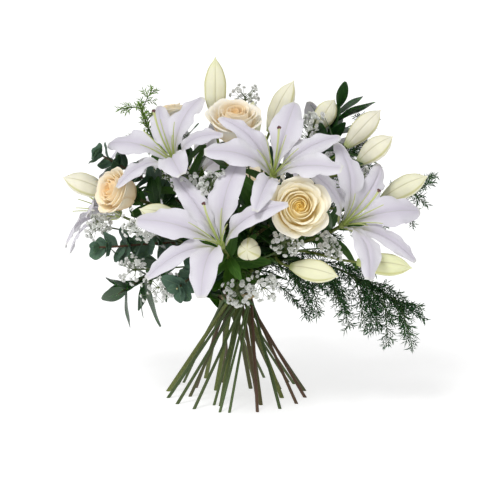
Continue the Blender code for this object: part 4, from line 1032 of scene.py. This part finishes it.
def rose_stem(name, stems, rng, blooms):
    feet, curves, radii, _ = stems
    stem = name + "_stem"
    piece = Piece()
    thick = radii[stem]
    curve = grow_stem(piece, feet[stem], curves[stem], thick, thick * 0.8, rng.uniform(0.2, 0.7), 1.0)
    base, axis, radius = ROSES[name]
    axis = unit(axis)
    base = np.array(base, float)
    heights = np.array((-13, -9, -5, -2, -0.4))
    widths = np.array((2.0, 2.6, radius * 0.15, radius * 0.19, radius * 0.19))
    piece.tube(base + axis * heights[:, None], widths, 16, 0.1, 0)
    sepals(piece, base, axis, radius, rng)
    places = leaf_nodes(curve.length - 26, ROSE_LEAF)
    add_leaves(piece, stem, curve, places, 5, thick * 0.9, ROSE_LEAF, rng, toothed=True)
    more_leaves(piece, curve, ROSE_LEAF, curve.length * 0.46, 9.5, 1.05, rng, blooms)
    return piece


def sepals(piece, base, axis, radius, rng):
    """Five narrow sepals, bent down from under the bloom."""
    for k in range(5):
        out, across = clock_direction(axis, 36 + 72 * k)
        q, c = np.meshgrid(np.linspace(0, 1, 14), np.linspace(-1, 1, 5), indexing="ij")
        reach, rise, _ = arc(q, radius * 0.62, (80, 95, 110, 130, 150 + rng.uniform(-20, 20)))
        half = radius * 0.085 * np.sin(math.pi * (0.2 + 0.78 * q)) ** 0.8
        points = base - axis * 1.2 + (radius * 0.16 + reach)[..., None] * out
        points = points + rise[..., None] * axis + (c * half)[..., None] * across
        piece.sheet(points, 0.7, rng.uniform(0, 0.5), 1)


def spray(name, stems, kind, rng, blooms):
    feet, curves, radii, _ = stems
    piece = Piece()
    curve = Curve([feet[name], *curves[name]])
    places = leaf_nodes(curve.length, kind)
    grow_stem(piece, feet[name], curves[name], radii[name], 1.2, rng.uniform(0.5, 1), knots=places)
    add_leaves(piece, name, curve, places, 4, radii[name] * 0.75, kind, rng)
    more_leaves(piece, curve, kind, places[0] * 0.82, kind["spacing"] * 0.3, 0.9, rng, blooms)
    end_leaves(piece, curve, kind, rng)
    return piece


def end_leaves(piece, curve, kind, rng):
    """Leaves that close the tip of a spray: one long blade, or two small round leaves."""
    forward = curve.direction(curve.length)
    _, up, right = facing(forward)
    if kind["pair"] == 1:
        place = curve.length - kind["length"] * 0.95
        start, along = curve.at(place), unit(curve.at(curve.length) - curve.at(place))
        fine_leaf(piece, start, along, up, {**kind, "bow": 0.0}, 1.0, rng)
        return
    for side in (1, -1):
        direction = unit(forward + right * side * 0.8)
        fine_leaf(piece, curve.at(curve.length - 4), direction, forward, kind, 0.55, rng)


def more_leaves(piece, curve, kind, first, spacing, size, rng, blooms, lean=0.6):
    """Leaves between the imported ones, wherever they are clear of the blooms."""
    q, c = (grid.reshape(-1) for grid in np.meshgrid((0.3, 0.6, 0.8, 1.0), (-0.9, 0.0, 0.9)))
    turn = rng.uniform(0, 6)
    for place in np.arange(first, curve.length - 6, spacing):
        forward = curve.direction(place)
        _, up, right = facing(forward)
        for _ in range(6):
            turn += 2.4
            outward = up * math.cos(turn) + right * math.sin(turn)
            direction = unit(outward + forward * rng.uniform(lean, lean + 0.5))
            scale = size * rng.uniform(0.8, 1.1)
            start = curve.at(place) + direction * 1.0
            length, width = kind["length"] * scale, kind["width"] * scale
            surface = leaf(start, direction, forward, length, width, kind["bow"])
            if blooms.clear(surface(q, c), 2.0):
                fine_leaf(piece, start, direction, forward, kind, scale, rng)
                break


# Ferns.

def frond_branch(start, outward, forward, reach):
    """The curve of one drooping branch of a fern."""
    direction = unit(outward + forward)
    drop = np.array((0, 0, -0.25 * reach))
    leave = start + direction * reach * 0.4
    arrive = start + direction * reach * 0.75 + drop * 0.4
    return Curve(bezier(start, leave, arrive, start + direction * reach + drop, 16))


def packed_branches(name, curve, places):
    """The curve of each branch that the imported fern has."""
    tree = cad_tree(name)
    found = []
    for index, place in enumerate(places):
        forward = curve.direction(place)
        _, up, right = facing(forward)
        reach = FERN_BRANCH_LENGTH * (1.0 - 0.45 * index / (FERN_BRANCHES - 1))
        tries = []
        for attempt in range(8):
            angle = 2.4 * index + 0.8 * attempt
            outward = up * math.cos(angle) + right * math.sin(angle)
            start = curve.at(place) + outward * 1.2
            branch = frond_branch(start, outward, forward * (0.9 + 0.1 * attempt), reach)
            tries.append((mean_distance(tree, branch.points[5:]), branch))
        distance, branch = min(tries, key=lambda found: found[0])
        if distance < 2.5:
            found.append(branch)
    return found


# Branches added to each fern: how many, their length as a share of a packed branch, and how far
# they hang as a share of their length.
FERN_FILL = {
    "fern_1": (12, 0.75, 0.1),
    "fern_2": (14, 0.8, 0.2),
    "fern_3": (26, 1.25, 0.75),
    "fern_4": (14, 0.85, 0.3),
}


def free_branches(name, curve, blooms, rng):
    """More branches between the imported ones, where no bloom is in their way."""
    found = []
    count, size, hang = FERN_FILL[name]
    for number, place in enumerate(np.linspace(curve.length * 0.48, curve.length - 6, count)):
        forward = curve.direction(place)
        _, up, right = facing(forward)
        left = (curve.length - place) / (curve.length * 0.52)
        reach = FERN_BRANCH_LENGTH * size * (0.6 + 0.4 * left) * rng.uniform(0.8, 1.0)
        for attempt in range(9):
            angle = 2.4 * number + 1.1 + 0.7 * attempt
            outward = up * math.cos(angle) + right * math.sin(angle)
            outward = outward - np.array((0.0, 0.0, hang))
            branch = frond_branch(curve.at(place), outward, forward * rng.uniform(0.7, 1.4), reach)
            if branch.points[:, 2].min() > 20 and blooms.clear(branch.points[4:], 3.0):
                found.append(branch)
                break
    return found


def fern(name, stems, rng, blooms):
    """A fern's stem, its branches, and rows of needles along short branchlets."""
    feet, curves, radii, _ = stems
    piece = Piece()
    curve = grow_stem(piece, feet[name], curves[name], radii[name], 1.0, rng.uniform(0.1, 0.4))
    places = list(np.linspace(curve.length * 0.50, curve.length - 8, FERN_BRANCHES))
    branches = packed_branches(name, curve, places)
    branches += free_branches(name, curve, blooms, rng)
    needles = {"place": [], "forward": [], "size": [], "tint": []}
    for branch in branches:
        branchlets(piece, branch, needles, rng, blooms)
    tip = Curve([curve.at(place) for place in np.linspace(curve.length - 60, curve.length, 10)])
    branchlets(piece, tip, needles, rng, blooms, bare=True)
    where = (needles[key] for key in ("place", "forward", "size", "tint"))
    piece.copies(spindle(4, 0.4), *where, 1)
    return piece


def branchlets(piece, branch, needles, rng, blooms, bare=False):
    """Short branchlets on both sides of a branch, with whorls of needles along them."""
    if not bare:
        piece.tube(branch.points, np.linspace(0.8, 0.35, len(branch.points)), 6, 0.1, 0)
    whorls(needles, Curve(branch.points[len(branch.points) // 3:]), rng)
    _, level, _ = facing(branch.direction(branch.length / 2))
    for number, place in enumerate(np.arange(5.0, branch.length, 5.6)):
        start, forward = branch.at(place), branch.direction(place)
        side = unit(np.cross(forward, level)) * (1 if number % 2 else -1)
        lean = unit(side + level * rng.uniform(-0.6, 0.6) + forward * rng.uniform(0.5, 1.0))
        left = 1 - 0.5 * place / branch.length
        reach = rng.uniform(11, 17) * left
        if blooms.near(start + lean * reach, 1.5) or not in_box(start + lean * reach):
            continue
        drop = np.array((0, 0, -0.12 * reach))
        middle, end = start + lean * reach * 0.5, start + lean * reach + drop
        piece.tube(np.array([start, middle, end]), (0.4, 0.34, 0.2), 4, 0.2, 0)
        whorls(needles, Curve([start, middle, end]), rng)


def whorls(needles, line, rng):
    shade = rng.uniform(0, 1)
    for place in np.arange(2.0, line.length + 1.5, 3.3):
        forward = line.direction(min(place, line.length))
        _, up, right = facing(forward)
        turn = rng.uniform(0, 6)
        for k in range(3):
            angle = turn + k * math.pi * 2 / 3 + rng.uniform(-0.4, 0.4)
            out = up * math.cos(angle) + right * math.sin(angle)
            needles["place"].append(line.at(place))
            needles["forward"].append(out + forward * rng.uniform(0.6, 1.4))
            needles["size"].append((1.5, 1.0, rng.uniform(6.5, 10.5)))
            needles["tint"].append(0.7 * shade + rng.uniform(0, 0.3))


# Gypsophila.

def gypsophila(name, stems, rng, blooms):
    """Two branching stems, with clouds of small double florets on hair-thin stalks."""
    feet, curves, radii, parents = stems
    piece = Piece()
    florets = {"place": [], "forward": []}
    for number in range(2):
        key = f"{name}:{number}"
        grow_stem(piece, feet[key], curves[key], radii[key], 0.9, rng.uniform(0, 0.5), sides=9)
        lines = [curves[key]]
        for branch in [branch for branch, (parent, _) in parents.items() if parent == key]:
            grow_branch(piece, curves[branch], radii[branch], 0.7, 0.2, sides=7)
            lines.append(curves[branch])
        for line in lines:
            cloud(piece, Curve(line), florets, rng, blooms)
    add_florets(piece, florets, rng)
    return piece


def cloud(piece, curve, florets, rng, blooms):
    """Stalks that fork twice round the end of a twig, each with a floret at its end."""
    for _ in range(24):
        place = curve.length - rng.uniform(0, 26)
        start, forward = curve.at(place), curve.direction(place)
        _, up, right = facing(forward)
        turn = rng.uniform(0, 2 * math.pi)
        out = up * math.cos(turn) + right * math.sin(turn)
        along = unit(out + forward * rng.uniform(0.1, 1.2))
        fork = start + along * rng.uniform(6, 12)
        if blooms.near(fork, 1.5):
            continue
        piece.tube(np.array([start, (start + fork) / 2 + up * 0.4, fork]), (0.45, 0.38, 0.32), 4, 0.3, 0)
        for _ in range(3):
            apart = unit(along + np.array([rng.uniform(-0.8, 0.8) for _ in range(3)]))
            end = fork + apart * rng.uniform(5, 11)
            if blooms.near(end, 3.2) or crowded(end, florets["place"]):
                continue
            piece.tube(np.array([fork, (fork + end) / 2, end]), (0.3, 0.26, 0.24), 3, 0.3, 0)
            florets["place"].append(end)
            florets["forward"].append(apart)


def crowded(place, others):
    """Whether a floret here would sit on one that is there already."""
    if not others:
        return False
    return np.linalg.norm(np.array(others) - place, axis=1).min() < 4.6


# Rings of a floret's petals, from the outside in: how many, lean from its axis, length and width.
FLORET_RINGS = ((6, 1.45, 3.6, 3.5), (6, 0.9, 3.4, 3.1), (4, 0.35, 3.0, 2.5))


def add_florets(piece, florets, rng):
    """Double florets: a green cup and three rings of small round petals."""
    ends, forwards = np.array(florets["place"]), unit_rows(np.array(florets["forward"]))
    sizes = np.array([rng.uniform(0.7, 1.12) for _ in ends])
    tints = np.array([rng.uniform(0, 1) for _ in ends])
    cup = spindle(5, 0.6)
    piece.copies(cup, ends - forwards * 0.6, forwards, sizes[:, None] * (1.7, 1.7, 1.8), 0.3, 0)
    petal = petal_shape()
    level = np.where(np.abs(forwards[:, 2:]) < 0.9, (0.0, 0.0, 1.0), (0.0, 1.0, 0.0))
    first = unit_rows(np.cross(level, forwards))
    second = np.cross(forwards, first)
    for ring, (count, lean, long, wide) in enumerate(FLORET_RINGS):
        for k in range(count):
            turn = 2 * math.pi * (k + 0.5 * ring) / count + tints * 6
            out = first * np.cos(turn)[:, None] + second * np.sin(turn)[:, None]
            along = forwards * math.cos(lean) + out * math.sin(lean)
            rolls = petal_rolls(along, forwards)
            scale = sizes[:, None] * (wide, long, long)
            piece.copies(petal, ends + forwards * 0.4, along, scale, tints, 1, rolls)


def petal_rolls(along, forwards):
    """Turns a petal about its own length so that its hollow side faces the floret's middle."""
    level = np.where(np.abs(along[:, 2:]) < 0.9, (0.0, 0.0, 1.0), (0.0, 1.0, 0.0))
    first = unit_rows(np.cross(level, along))
    second = np.cross(along, first)
    return np.arctan2((forwards * second).sum(axis=1), (forwards * first).sum(axis=1)) - math.pi / 2


# The tie: turns of twine.

TWINE_TURNS = 4
TWINE_RADIUS = 1.2


def tie():
    widest = math.hypot(RING_RADII[3], RING_SLOPES[3] * TIE_HEIGHT / 2)
    inner = widest + SPRIG_STEM / 2 + GAP
    turns = np.linspace(0, 2 * math.pi * TWINE_TURNS, 96 * TWINE_TURNS + 1)
    heights = np.linspace(-TIE_HEIGHT / 2 + TWINE_RADIUS, TIE_HEIGHT / 2 - TWINE_RADIUS, len(turns))
    radius = inner + TWINE_RADIUS + 0.3 * np.sin(turns * 3.3)
    points = np.stack([radius * np.cos(turns), radius * np.sin(turns), WAIST_HEIGHT + heights], -1)
    piece = Piece()
    piece.tube(points, TWINE_RADIUS, 10, 0.5, 0)
    return piece


# Materials.

class Shader:
    """One material, and short ways to add nodes to it."""

    def __init__(self, name):
        self.material = bpy.data.materials.new(name)
        self.material.use_nodes = True
        self.tree = self.material.node_tree
        self.surface = self.tree.nodes["Principled BSDF"]

    def node(self, kind, values=(), **settings):
        made = self.tree.nodes.new("ShaderNode" + kind)
        for name, value in settings.items():
            setattr(made, name, value)
        for name, value in dict(values).items():
            self.give(made.inputs[name], value)
        return made

    def give(self, socket, value):
        if isinstance(value, bpy.types.NodeSocket):
            self.tree.links.new(value, socket)
        elif isinstance(value, tuple) and len(value) == 3 and socket.type == "RGBA":
            socket.default_value = (*value, 1)
        else:
            socket.default_value = value

    def set(self, **values):
        for name, value in values.items():
            self.give(self.surface.inputs[name.replace("_", " ")], value)

    def grain(self, across=1.0, along=1.0):
        where = self.node("UVMap", uv_map="grain").outputs[0]
        return self.node("Mapping", {"Vector": where, "Scale": (across, along, 1.0)}).outputs[0]

    def part(self, vector, axis):
        return self.node("SeparateXYZ", {0: vector}).outputs[axis]

    def place(self):
        return self.node("TexCoord").outputs["Object"]

    def tint(self):
        return self.node("Attribute", attribute_name="tint").outputs["Fac"]

    def noise(self, vector, scale, detail=3.0, distortion=0.0):
        values = {"Vector": vector, "Scale": scale, "Detail": detail, "Distortion": distortion}
        return self.node("TexNoise", values).outputs["Fac"]

    def wave(self, vector, scale, distortion=2.0):
        values = {"Vector": vector, "Scale": scale, "Distortion": distortion, "Detail": 2.0}
        return self.node("TexWave", values).outputs["Fac"]

    def maths(self, operation, first, second=0.0, clamp=False):
        found = self.node("Math", {0: first, 1: second}, operation=operation, use_clamp=clamp)
        return found.outputs[0]

    def span(self, value, low, high, to_low=0.0, to_high=1.0):
        values = {"Value": value, "From Min": low, "From Max": high, "To Min": to_low, "To Max": to_high}
        return self.node("MapRange", values, interpolation_type="SMOOTHSTEP").outputs[0]

    def mix(self, share, first, second, blend="MIX"):
        made = self.tree.nodes.new("ShaderNodeMix")
        made.data_type = "RGBA"
        made.blend_type = blend
        for number, value in ((0, share), (6, first), (7, second)):
            self.give(made.inputs[number], value)
        return made.outputs[2]

    def bump(self, height, strength, distance):
        values = {"Height": height, "Strength": strength, "Distance": distance}
        return self.node("Bump", values).outputs[0]


def soft(shader, weight, radius):
    """Light that soaks a little way into a petal or leaf."""
    shader.set(Subsurface_Weight=weight, Subsurface_Scale=0.01, Subsurface_Radius=radius)


def tepal_material():
    shader = Shader("lily_tepal")
    grain = shader.grain()
    across, along = shader.part(grain, 0), shader.part(grain, 1)
    off = shader.maths("ABSOLUTE", shader.maths("SUBTRACT", across, 0.5))
    near_base = shader.span(along, 0.05, 0.42, 1.0, 0.0)
    near_middle = shader.span(off, 0.02, 0.26, 1.0, 0.0)
    stripe = shader.maths("MULTIPLY", near_base, near_middle)
    veins = shader.wave(shader.grain(1.0, 0.04), 26.0, 1.5)
    white = shader.mix(shader.tint(), (0.86, 0.845, 0.885), (0.80, 0.775, 0.84))
    # Painted shade: each tepal is mixed towards a darker grey lavender near its middle, all along its
    # length, as shading painted into its colour.
    shade = shader.span(off, 0.0, 0.42, 0.65, 0.0)
    white = shader.mix(shade, white, (0.60, 0.545, 0.66))
    white = shader.mix(shader.span(veins, 0.3, 0.9, 0.0, 0.4), white, (0.62, 0.575, 0.69))
    midrib = shader.span(off, 0.0, 0.03, 0.6, 0.0)
    colour = shader.mix(midrib, white, (0.56, 0.55, 0.53))
    colour = shader.mix(stripe, colour, (0.58, 0.64, 0.24))
    colour = shader.mix(shader.span(along, 0.95, 1.0, 0.0, 0.4), colour, (0.78, 0.80, 0.62))
    shader.set(Base_Color=colour, Roughness=0.5, Normal=shader.bump(veins, 0.35, 0.0005))
    shader.set(Specular_IOR_Level=0.35)
    soft(shader, 0.1, (1.0, 0.9, 0.95))
    return shader.material


def centre_material():
    shader = Shader("lily_filament")
    colour = shader.mix(shader.tint(), (0.36, 0.46, 0.10), (0.62, 0.66, 0.30))
    shader.set(Base_Color=colour, Roughness=0.45)
    soft(shader, 0.1, (0.8, 1.0, 0.3))
    return shader.material


def stigma_material():
    shader = Shader("lily_stigma")
    spots = shader.noise(shader.place(), 900.0)
    colour = shader.mix(spots, (0.05, 0.012, 0.02), (0.16, 0.05, 0.04))
    shader.set(Base_Color=colour, Roughness=0.3, Normal=shader.bump(spots, 0.4, 0.0004))
    return shader.material


def bud_material():
    shader = Shader("bud_skin")
    grain = shader.grain()
    across, along = shader.part(grain, 0), shader.part(grain, 1)
    third = shader.maths("FRACT", shader.maths("ADD", shader.maths("MULTIPLY", across, 3.0), 0.5))
    off = shader.maths("ABSOLUTE", shader.maths("SUBTRACT", third, 0.5))
    rib = shader.span(off, 0.0, 0.11, 1.0, 0.0)
    seam = shader.span(off, 0.45, 0.5, 0.0, 0.6)
    cream = shader.mix(shader.tint(), (0.93, 0.88, 0.78), (0.80, 0.82, 0.50))
    streak = shader.noise(shader.grain(14, 1.2), 5.0)
    cream = shader.mix(shader.span(streak, 0.45, 0.75, 0.0, 0.3), cream, (0.80, 0.74, 0.58))
    colour = shader.mix(shader.maths("MULTIPLY", rib, 0.75), cream, (0.60, 0.58, 0.20))
    colour = shader.mix(seam, colour, (0.50, 0.46, 0.26))
    colour = shader.mix(shader.span(along, 0.0, 0.12, 0.8, 0.0), colour, (0.36, 0.44, 0.10))
    colour = shader.mix(shader.span(along, 0.62, 0.86, 0.0, 0.55), colour, (0.62, 0.66, 0.20))
    height = shader.wave(shader.grain(1.0, 0.05), 40.0, 1.0)
    shader.set(Base_Color=colour, Roughness=0.5, Normal=shader.bump(height, 0.3, 0.0005))
    soft(shader, 0.2, (1.0, 0.95, 0.6))
    return shader.material


def rose_material(name, outer, inner, edge):
    shader = Shader(name)
    grain = shader.grain()
    along = shader.part(grain, 1)
    colour = shader.mix(shader.span(shader.tint(), 0.0, 0.85), outer, inner)
    deep = shader.span(along, 0.1, 0.85, 0.7, 0.0)
    colour = shader.mix(deep, colour, inner)
    veins = shader.noise(shader.grain(22, 1.2), 5.0)
    colour = shader.mix(shader.span(veins, 0.45, 0.8, 0.0, 0.3), colour, edge)
    height = shader.wave(shader.grain(1.0, 0.1), 30.0, 3.0)
    shader.set(Base_Color=colour, Roughness=0.6, Normal=shader.bump(height, 0.15, 0.0005))
    # Painted glow: the petals give off a faint light of their own colour, standing in for light that
    # shines through them and lifting their shade.
    shader.set(Specular_IOR_Level=0.2, Emission_Color=colour, Emission_Strength=0.05)
    soft(shader, 0.2, (1.0, 0.75, 0.4))
    return shader.material


def stem_material(name, green, brown, rough=0.5):
    shader = Shader(name)
    streaks = shader.noise(shader.grain(8, 14), 2.2, 4.0, 0.4)
    colour = shader.mix(shader.tint(), green, brown)
    dark = shader.mix(0.5, colour, (0.04, 0.05, 0.01))
    colour = shader.mix(shader.span(streaks, 0.3, 0.7), dark, colour)
    height = shader.noise(shader.grain(30, 40), 3.0)
    shader.set(Base_Color=colour, Roughness=rough, Normal=shader.bump(height, 0.3, 0.0005))
    return shader.material


def cut_material():
    """The pale pith of a cut end."""
    shader = Shader("cut_end")
    grain = shader.grain()
    x = shader.maths("SUBTRACT", shader.part(grain, 0), 0.5)
    y = shader.maths("SUBTRACT", shader.part(grain, 1), 0.5)
    square = shader.maths("ADD", shader.maths("MULTIPLY", x, x), shader.maths("MULTIPLY", y, y))
    colour = shader.mix(shader.span(square, 0.12, 0.24), (0.55, 0.56, 0.30), (0.22, 0.26, 0.08))
    shader.set(Base_Color=colour, Roughness=0.7)
    return shader.material


def leaf_material(name, dark, light, vein, rough, branching=12.0, coat=0.0):
    """A leaf with a paler midrib and side veins that leave it at a slant."""
    shader = Shader(name)
    grain = shader.grain()
    across, along = shader.part(grain, 0), shader.part(grain, 1)
    off = shader.maths("ABSOLUTE", shader.maths("SUBTRACT", across, 0.5))
    midrib = shader.span(off, 0.0, 0.035, 1.0, 0.0)
    slant = shader.maths("SUBTRACT", along, shader.maths("MULTIPLY", off, 0.9))
    stripes = shader.maths("FRACT", shader.maths("MULTIPLY", slant, branching))
    from_stripe = shader.maths("ABSOLUTE", shader.maths("SUBTRACT", stripes, 0.5))
    side = shader.span(from_stripe, 0.0, 0.1, 0.5, 0.0)
    veins = shader.maths("MAXIMUM", midrib, side)
    mottle = shader.noise(shader.grain(3, 5), 4.0, 4.0)
    lightness = shader.maths("MULTIPLY", shader.maths("ADD", shader.tint(), mottle), 0.5)
    base = shader.mix(lightness, dark, light)
    colour = shader.mix(shader.maths("MULTIPLY", veins, 0.55), base, vein)
    height = shader.maths("SUBTRACT", shader.maths("MULTIPLY", mottle, 0.3), veins)
    shader.set(Base_Color=colour, Roughness=rough, Normal=shader.bump(height, 0.3, 0.0005))
    shader.set(Coat_Weight=coat, Coat_Roughness=0.25, Specular_IOR_Level=0.18)
    soft(shader, 0.05, (0.6, 1.0, 0.3))
    return shader.material


def plain_material(name, first, second, rough, weight=0.1):
    shader = Shader(name)
    shader.set(Base_Color=shader.mix(shader.tint(), first, second), Roughness=rough)
    shader.set(Specular_IOR_Level=0.12)
    soft(shader, weight, (0.9, 1.0, 0.8))
    return shader.material


def twine_material():
    shader = Shader("twine")
    grain = shader.grain()
    advance = shader.maths("MULTIPLY", shader.part(grain, 1), 20.0)
    twist = shader.maths("ADD", shader.part(grain, 0), advance)
    strands = shader.maths("SINE", shader.maths("MULTIPLY", twist, 2 * math.pi * 3))
    fibres = shader.noise(shader.grain(10, 60), 6.0)
    colour = shader.mix(fibres, (0.50, 0.38, 0.20), (0.66, 0.55, 0.34))
    height = shader.maths("ADD", strands, fibres)
    shader.set(Base_Color=colour, Roughness=0.9, Normal=shader.bump(height, 0.8, 0.0005))
    return shader.material


ROSE_COLOURS = {
    "rose_1": ((0.98, 0.93, 0.78), (1.0, 0.76, 0.22), (1.0, 0.90, 0.60)),
    "rose_2": ((0.97, 0.92, 0.80), (1.0, 0.76, 0.42), (0.98, 0.87, 0.66)),
    "rose_3": ((0.98, 0.88, 0.68), (1.0, 0.70, 0.32), (0.98, 0.80, 0.52)),
    "rose_4": ((0.96, 0.91, 0.78), (1.0, 0.76, 0.40), (0.97, 0.86, 0.62)),
    "rose_5": ((0.97, 0.92, 0.78), (1.0, 0.76, 0.38), (0.98, 0.86, 0.62)),
}


# Dark and light green, and the colour of the veins.
LEAF_COLOURS = {
    "lily": ((0.012, 0.05, 0.008), (0.05, 0.13, 0.016), (0.10, 0.19, 0.04)),
    "rose": ((0.008, 0.035, 0.008), (0.03, 0.085, 0.014), (0.08, 0.14, 0.04)),
    "eucalyptus": ((0.03, 0.075, 0.05), (0.10, 0.175, 0.12), (0.18, 0.26, 0.17)),
    "glossy": ((0.006, 0.03, 0.010), (0.02, 0.065, 0.016), (0.05, 0.11, 0.03)),
}
BRIGHT_FERN = ((0.06, 0.16, 0.012), (0.16, 0.30, 0.03))
DARK_FERN = ((0.004, 0.022, 0.008), (0.018, 0.06, 0.014))


# The pieces.

def make_blooms(rng):
    tepals, green = tepal_material(), stem_material("throat", (0.40, 0.48, 0.14), (0.40, 0.48, 0.14))
    filament, tip = centre_material(), stigma_material()
    for name in LILIES:
        make_piece(name, lily(name, rng), [tepals, green])
        make_piece(name + "_centre", lily_centre(name, rng), [filament, tip])
    skin = bud_material()
    for name in BUDS:
        make_piece(name, bud(name, rng), [skin])
    for name, colours in ROSE_COLOURS.items():
        make_piece(name, rose(name, rng), [rose_material(name + "_petal", *colours), green])


def make_stems(stems, rng, blooms, cut):
    green = stem_material("lily_stem_skin", (0.16, 0.21, 0.035), (0.20, 0.19, 0.05))
    blade = leaf_material("lily_leaf", *LEAF_COLOURS["lily"], 0.45, 1.0)
    for name in LILY_STEMS:
        make_piece(name, lily_stem(name, stems, rng, blooms), [green, blade, cut])
    skin = stem_material("rose_stem_skin", (0.08, 0.12, 0.03), (0.15, 0.07, 0.03))
    blade = leaf_material("rose_leaf", *LEAF_COLOURS["rose"], 0.42)
    for name in ROSES:
        make_piece(name + "_stem", rose_stem(name, stems, rng, blooms), [skin, blade, cut])
    wood = stem_material("eucalyptus_bark", (0.11, 0.09, 0.035), (0.12, 0.05, 0.03))
    blade = leaf_material("eucalyptus_leaf", *LEAF_COLOURS["eucalyptus"], 0.55, 9.0)
    for name in EUCALYPTUS:
        make_piece(name, spray(name, stems, ROUND_LEAF, rng, blooms), [wood, blade, cut])
    skin = stem_material("leaf_spray_skin", (0.06, 0.09, 0.025), (0.10, 0.09, 0.03))
    blade = leaf_material("glossy_leaf", *LEAF_COLOURS["glossy"], 0.32, 14.0, 0.2)
    for name in LEAF_SPRAYS:
        make_piece(name, spray(name, stems, BLADE_LEAF, rng, blooms), [skin, blade, cut])


def make_fillers(stems, rng, blooms, cut):
    skin = stem_material("fern_stem_skin", (0.05, 0.10, 0.02), (0.10, 0.12, 0.03))
    for name in FERNS:
        colours = BRIGHT_FERN if name == "fern_1" else DARK_FERN
        needle = plain_material(name + "_needle", *colours, 0.55)
        make_piece(name, fern(name, stems, rng, blooms), [skin, needle, cut])
    stalk = stem_material("gypsophila_stalk", (0.09, 0.15, 0.04), (0.13, 0.16, 0.05))
    petal = plain_material("gypsophila_petal", (0.92, 0.92, 0.90), (0.84, 0.86, 0.82), 0.6, 0.15)
    for name in GYPSOPHILA:
        make_piece(name, gypsophila(name, stems, rng, blooms), [stalk, petal, cut])


# Floor, light and camera.

FLOOR_HALF = 14.0

def make_stage():
    mesh = bpy.data.meshes.new("floor")
    corners = [(x * FLOOR_HALF, y * FLOOR_HALF, 0) for x, y in ((-1, -1), (1, -1), (1, 1), (-1, 1))]
    mesh.from_pydata(corners, [], [(0, 1, 2, 3)])
    floor = bpy.data.objects.new("floor", mesh)
    shader = Shader("floor_paper")
    shader.set(Base_Color=(0.5, 0.5, 0.5), Roughness=0.9)
    shader.set(Emission_Color=(1.0, 1.0, 1.0), Emission_Strength=0.68)
    mesh.materials.append(shader.material)
    bpy.context.scene.collection.objects.link(floor)
    world = bpy.data.worlds.new("studio")
    world.use_nodes = True
    world.node_tree.nodes["Background"].inputs[0].default_value = (1.0, 1.0, 1.0, 1)
    world.node_tree.nodes["Background"].inputs[1].default_value = 0.42
    bpy.context.scene.world = world
    add_sun("key", (-0.55, -0.85, 1.4), 1.75, 22)
    add_sun("fill", (0.9, -0.7, 0.5), 0.3, 70)
    bpy.context.scene.view_settings.view_transform = "Standard"


def add_sun(name, toward, strength, angle):
    light = bpy.data.lights.new(name, "SUN")
    light.energy = strength
    light.angle = math.radians(angle)
    lamp = bpy.data.objects.new(name, light)
    lamp.rotation_euler = Vector(toward).to_track_quat("Z", "Y").to_euler()
    bpy.context.scene.collection.objects.link(lamp)


def add_camera():
    data = bpy.data.cameras.new("camera")
    data.lens = 200.0
    data.sensor_width = 36.0
    data.clip_end = 50.0
    camera = bpy.data.objects.new("camera", data)
    target = Vector(((3.5 * 1.25 + BUNDLE[0]) * MM, BUNDLE[1] * MM, 0.199))
    elevation, distance = math.radians(12), 3.333
    back = Vector((0, -math.cos(elevation), math.sin(elevation)))
    camera.location = target + back * distance
    camera.rotation_euler = back.to_track_quat("Z", "Y").to_euler()
    bpy.context.scene.collection.objects.link(camera)
    bpy.context.scene.camera = camera


def main():
    rng = random.Random(11)
    stems = settled_curves()
    blooms = Blooms()
    cut = cut_material()
    make_blooms(rng)
    make_stems(stems, rng, blooms, cut)
    make_fillers(stems, rng, blooms, cut)
    make_piece("tie", tie(), [twine_material()])
    make_stage()
    add_camera()


main()
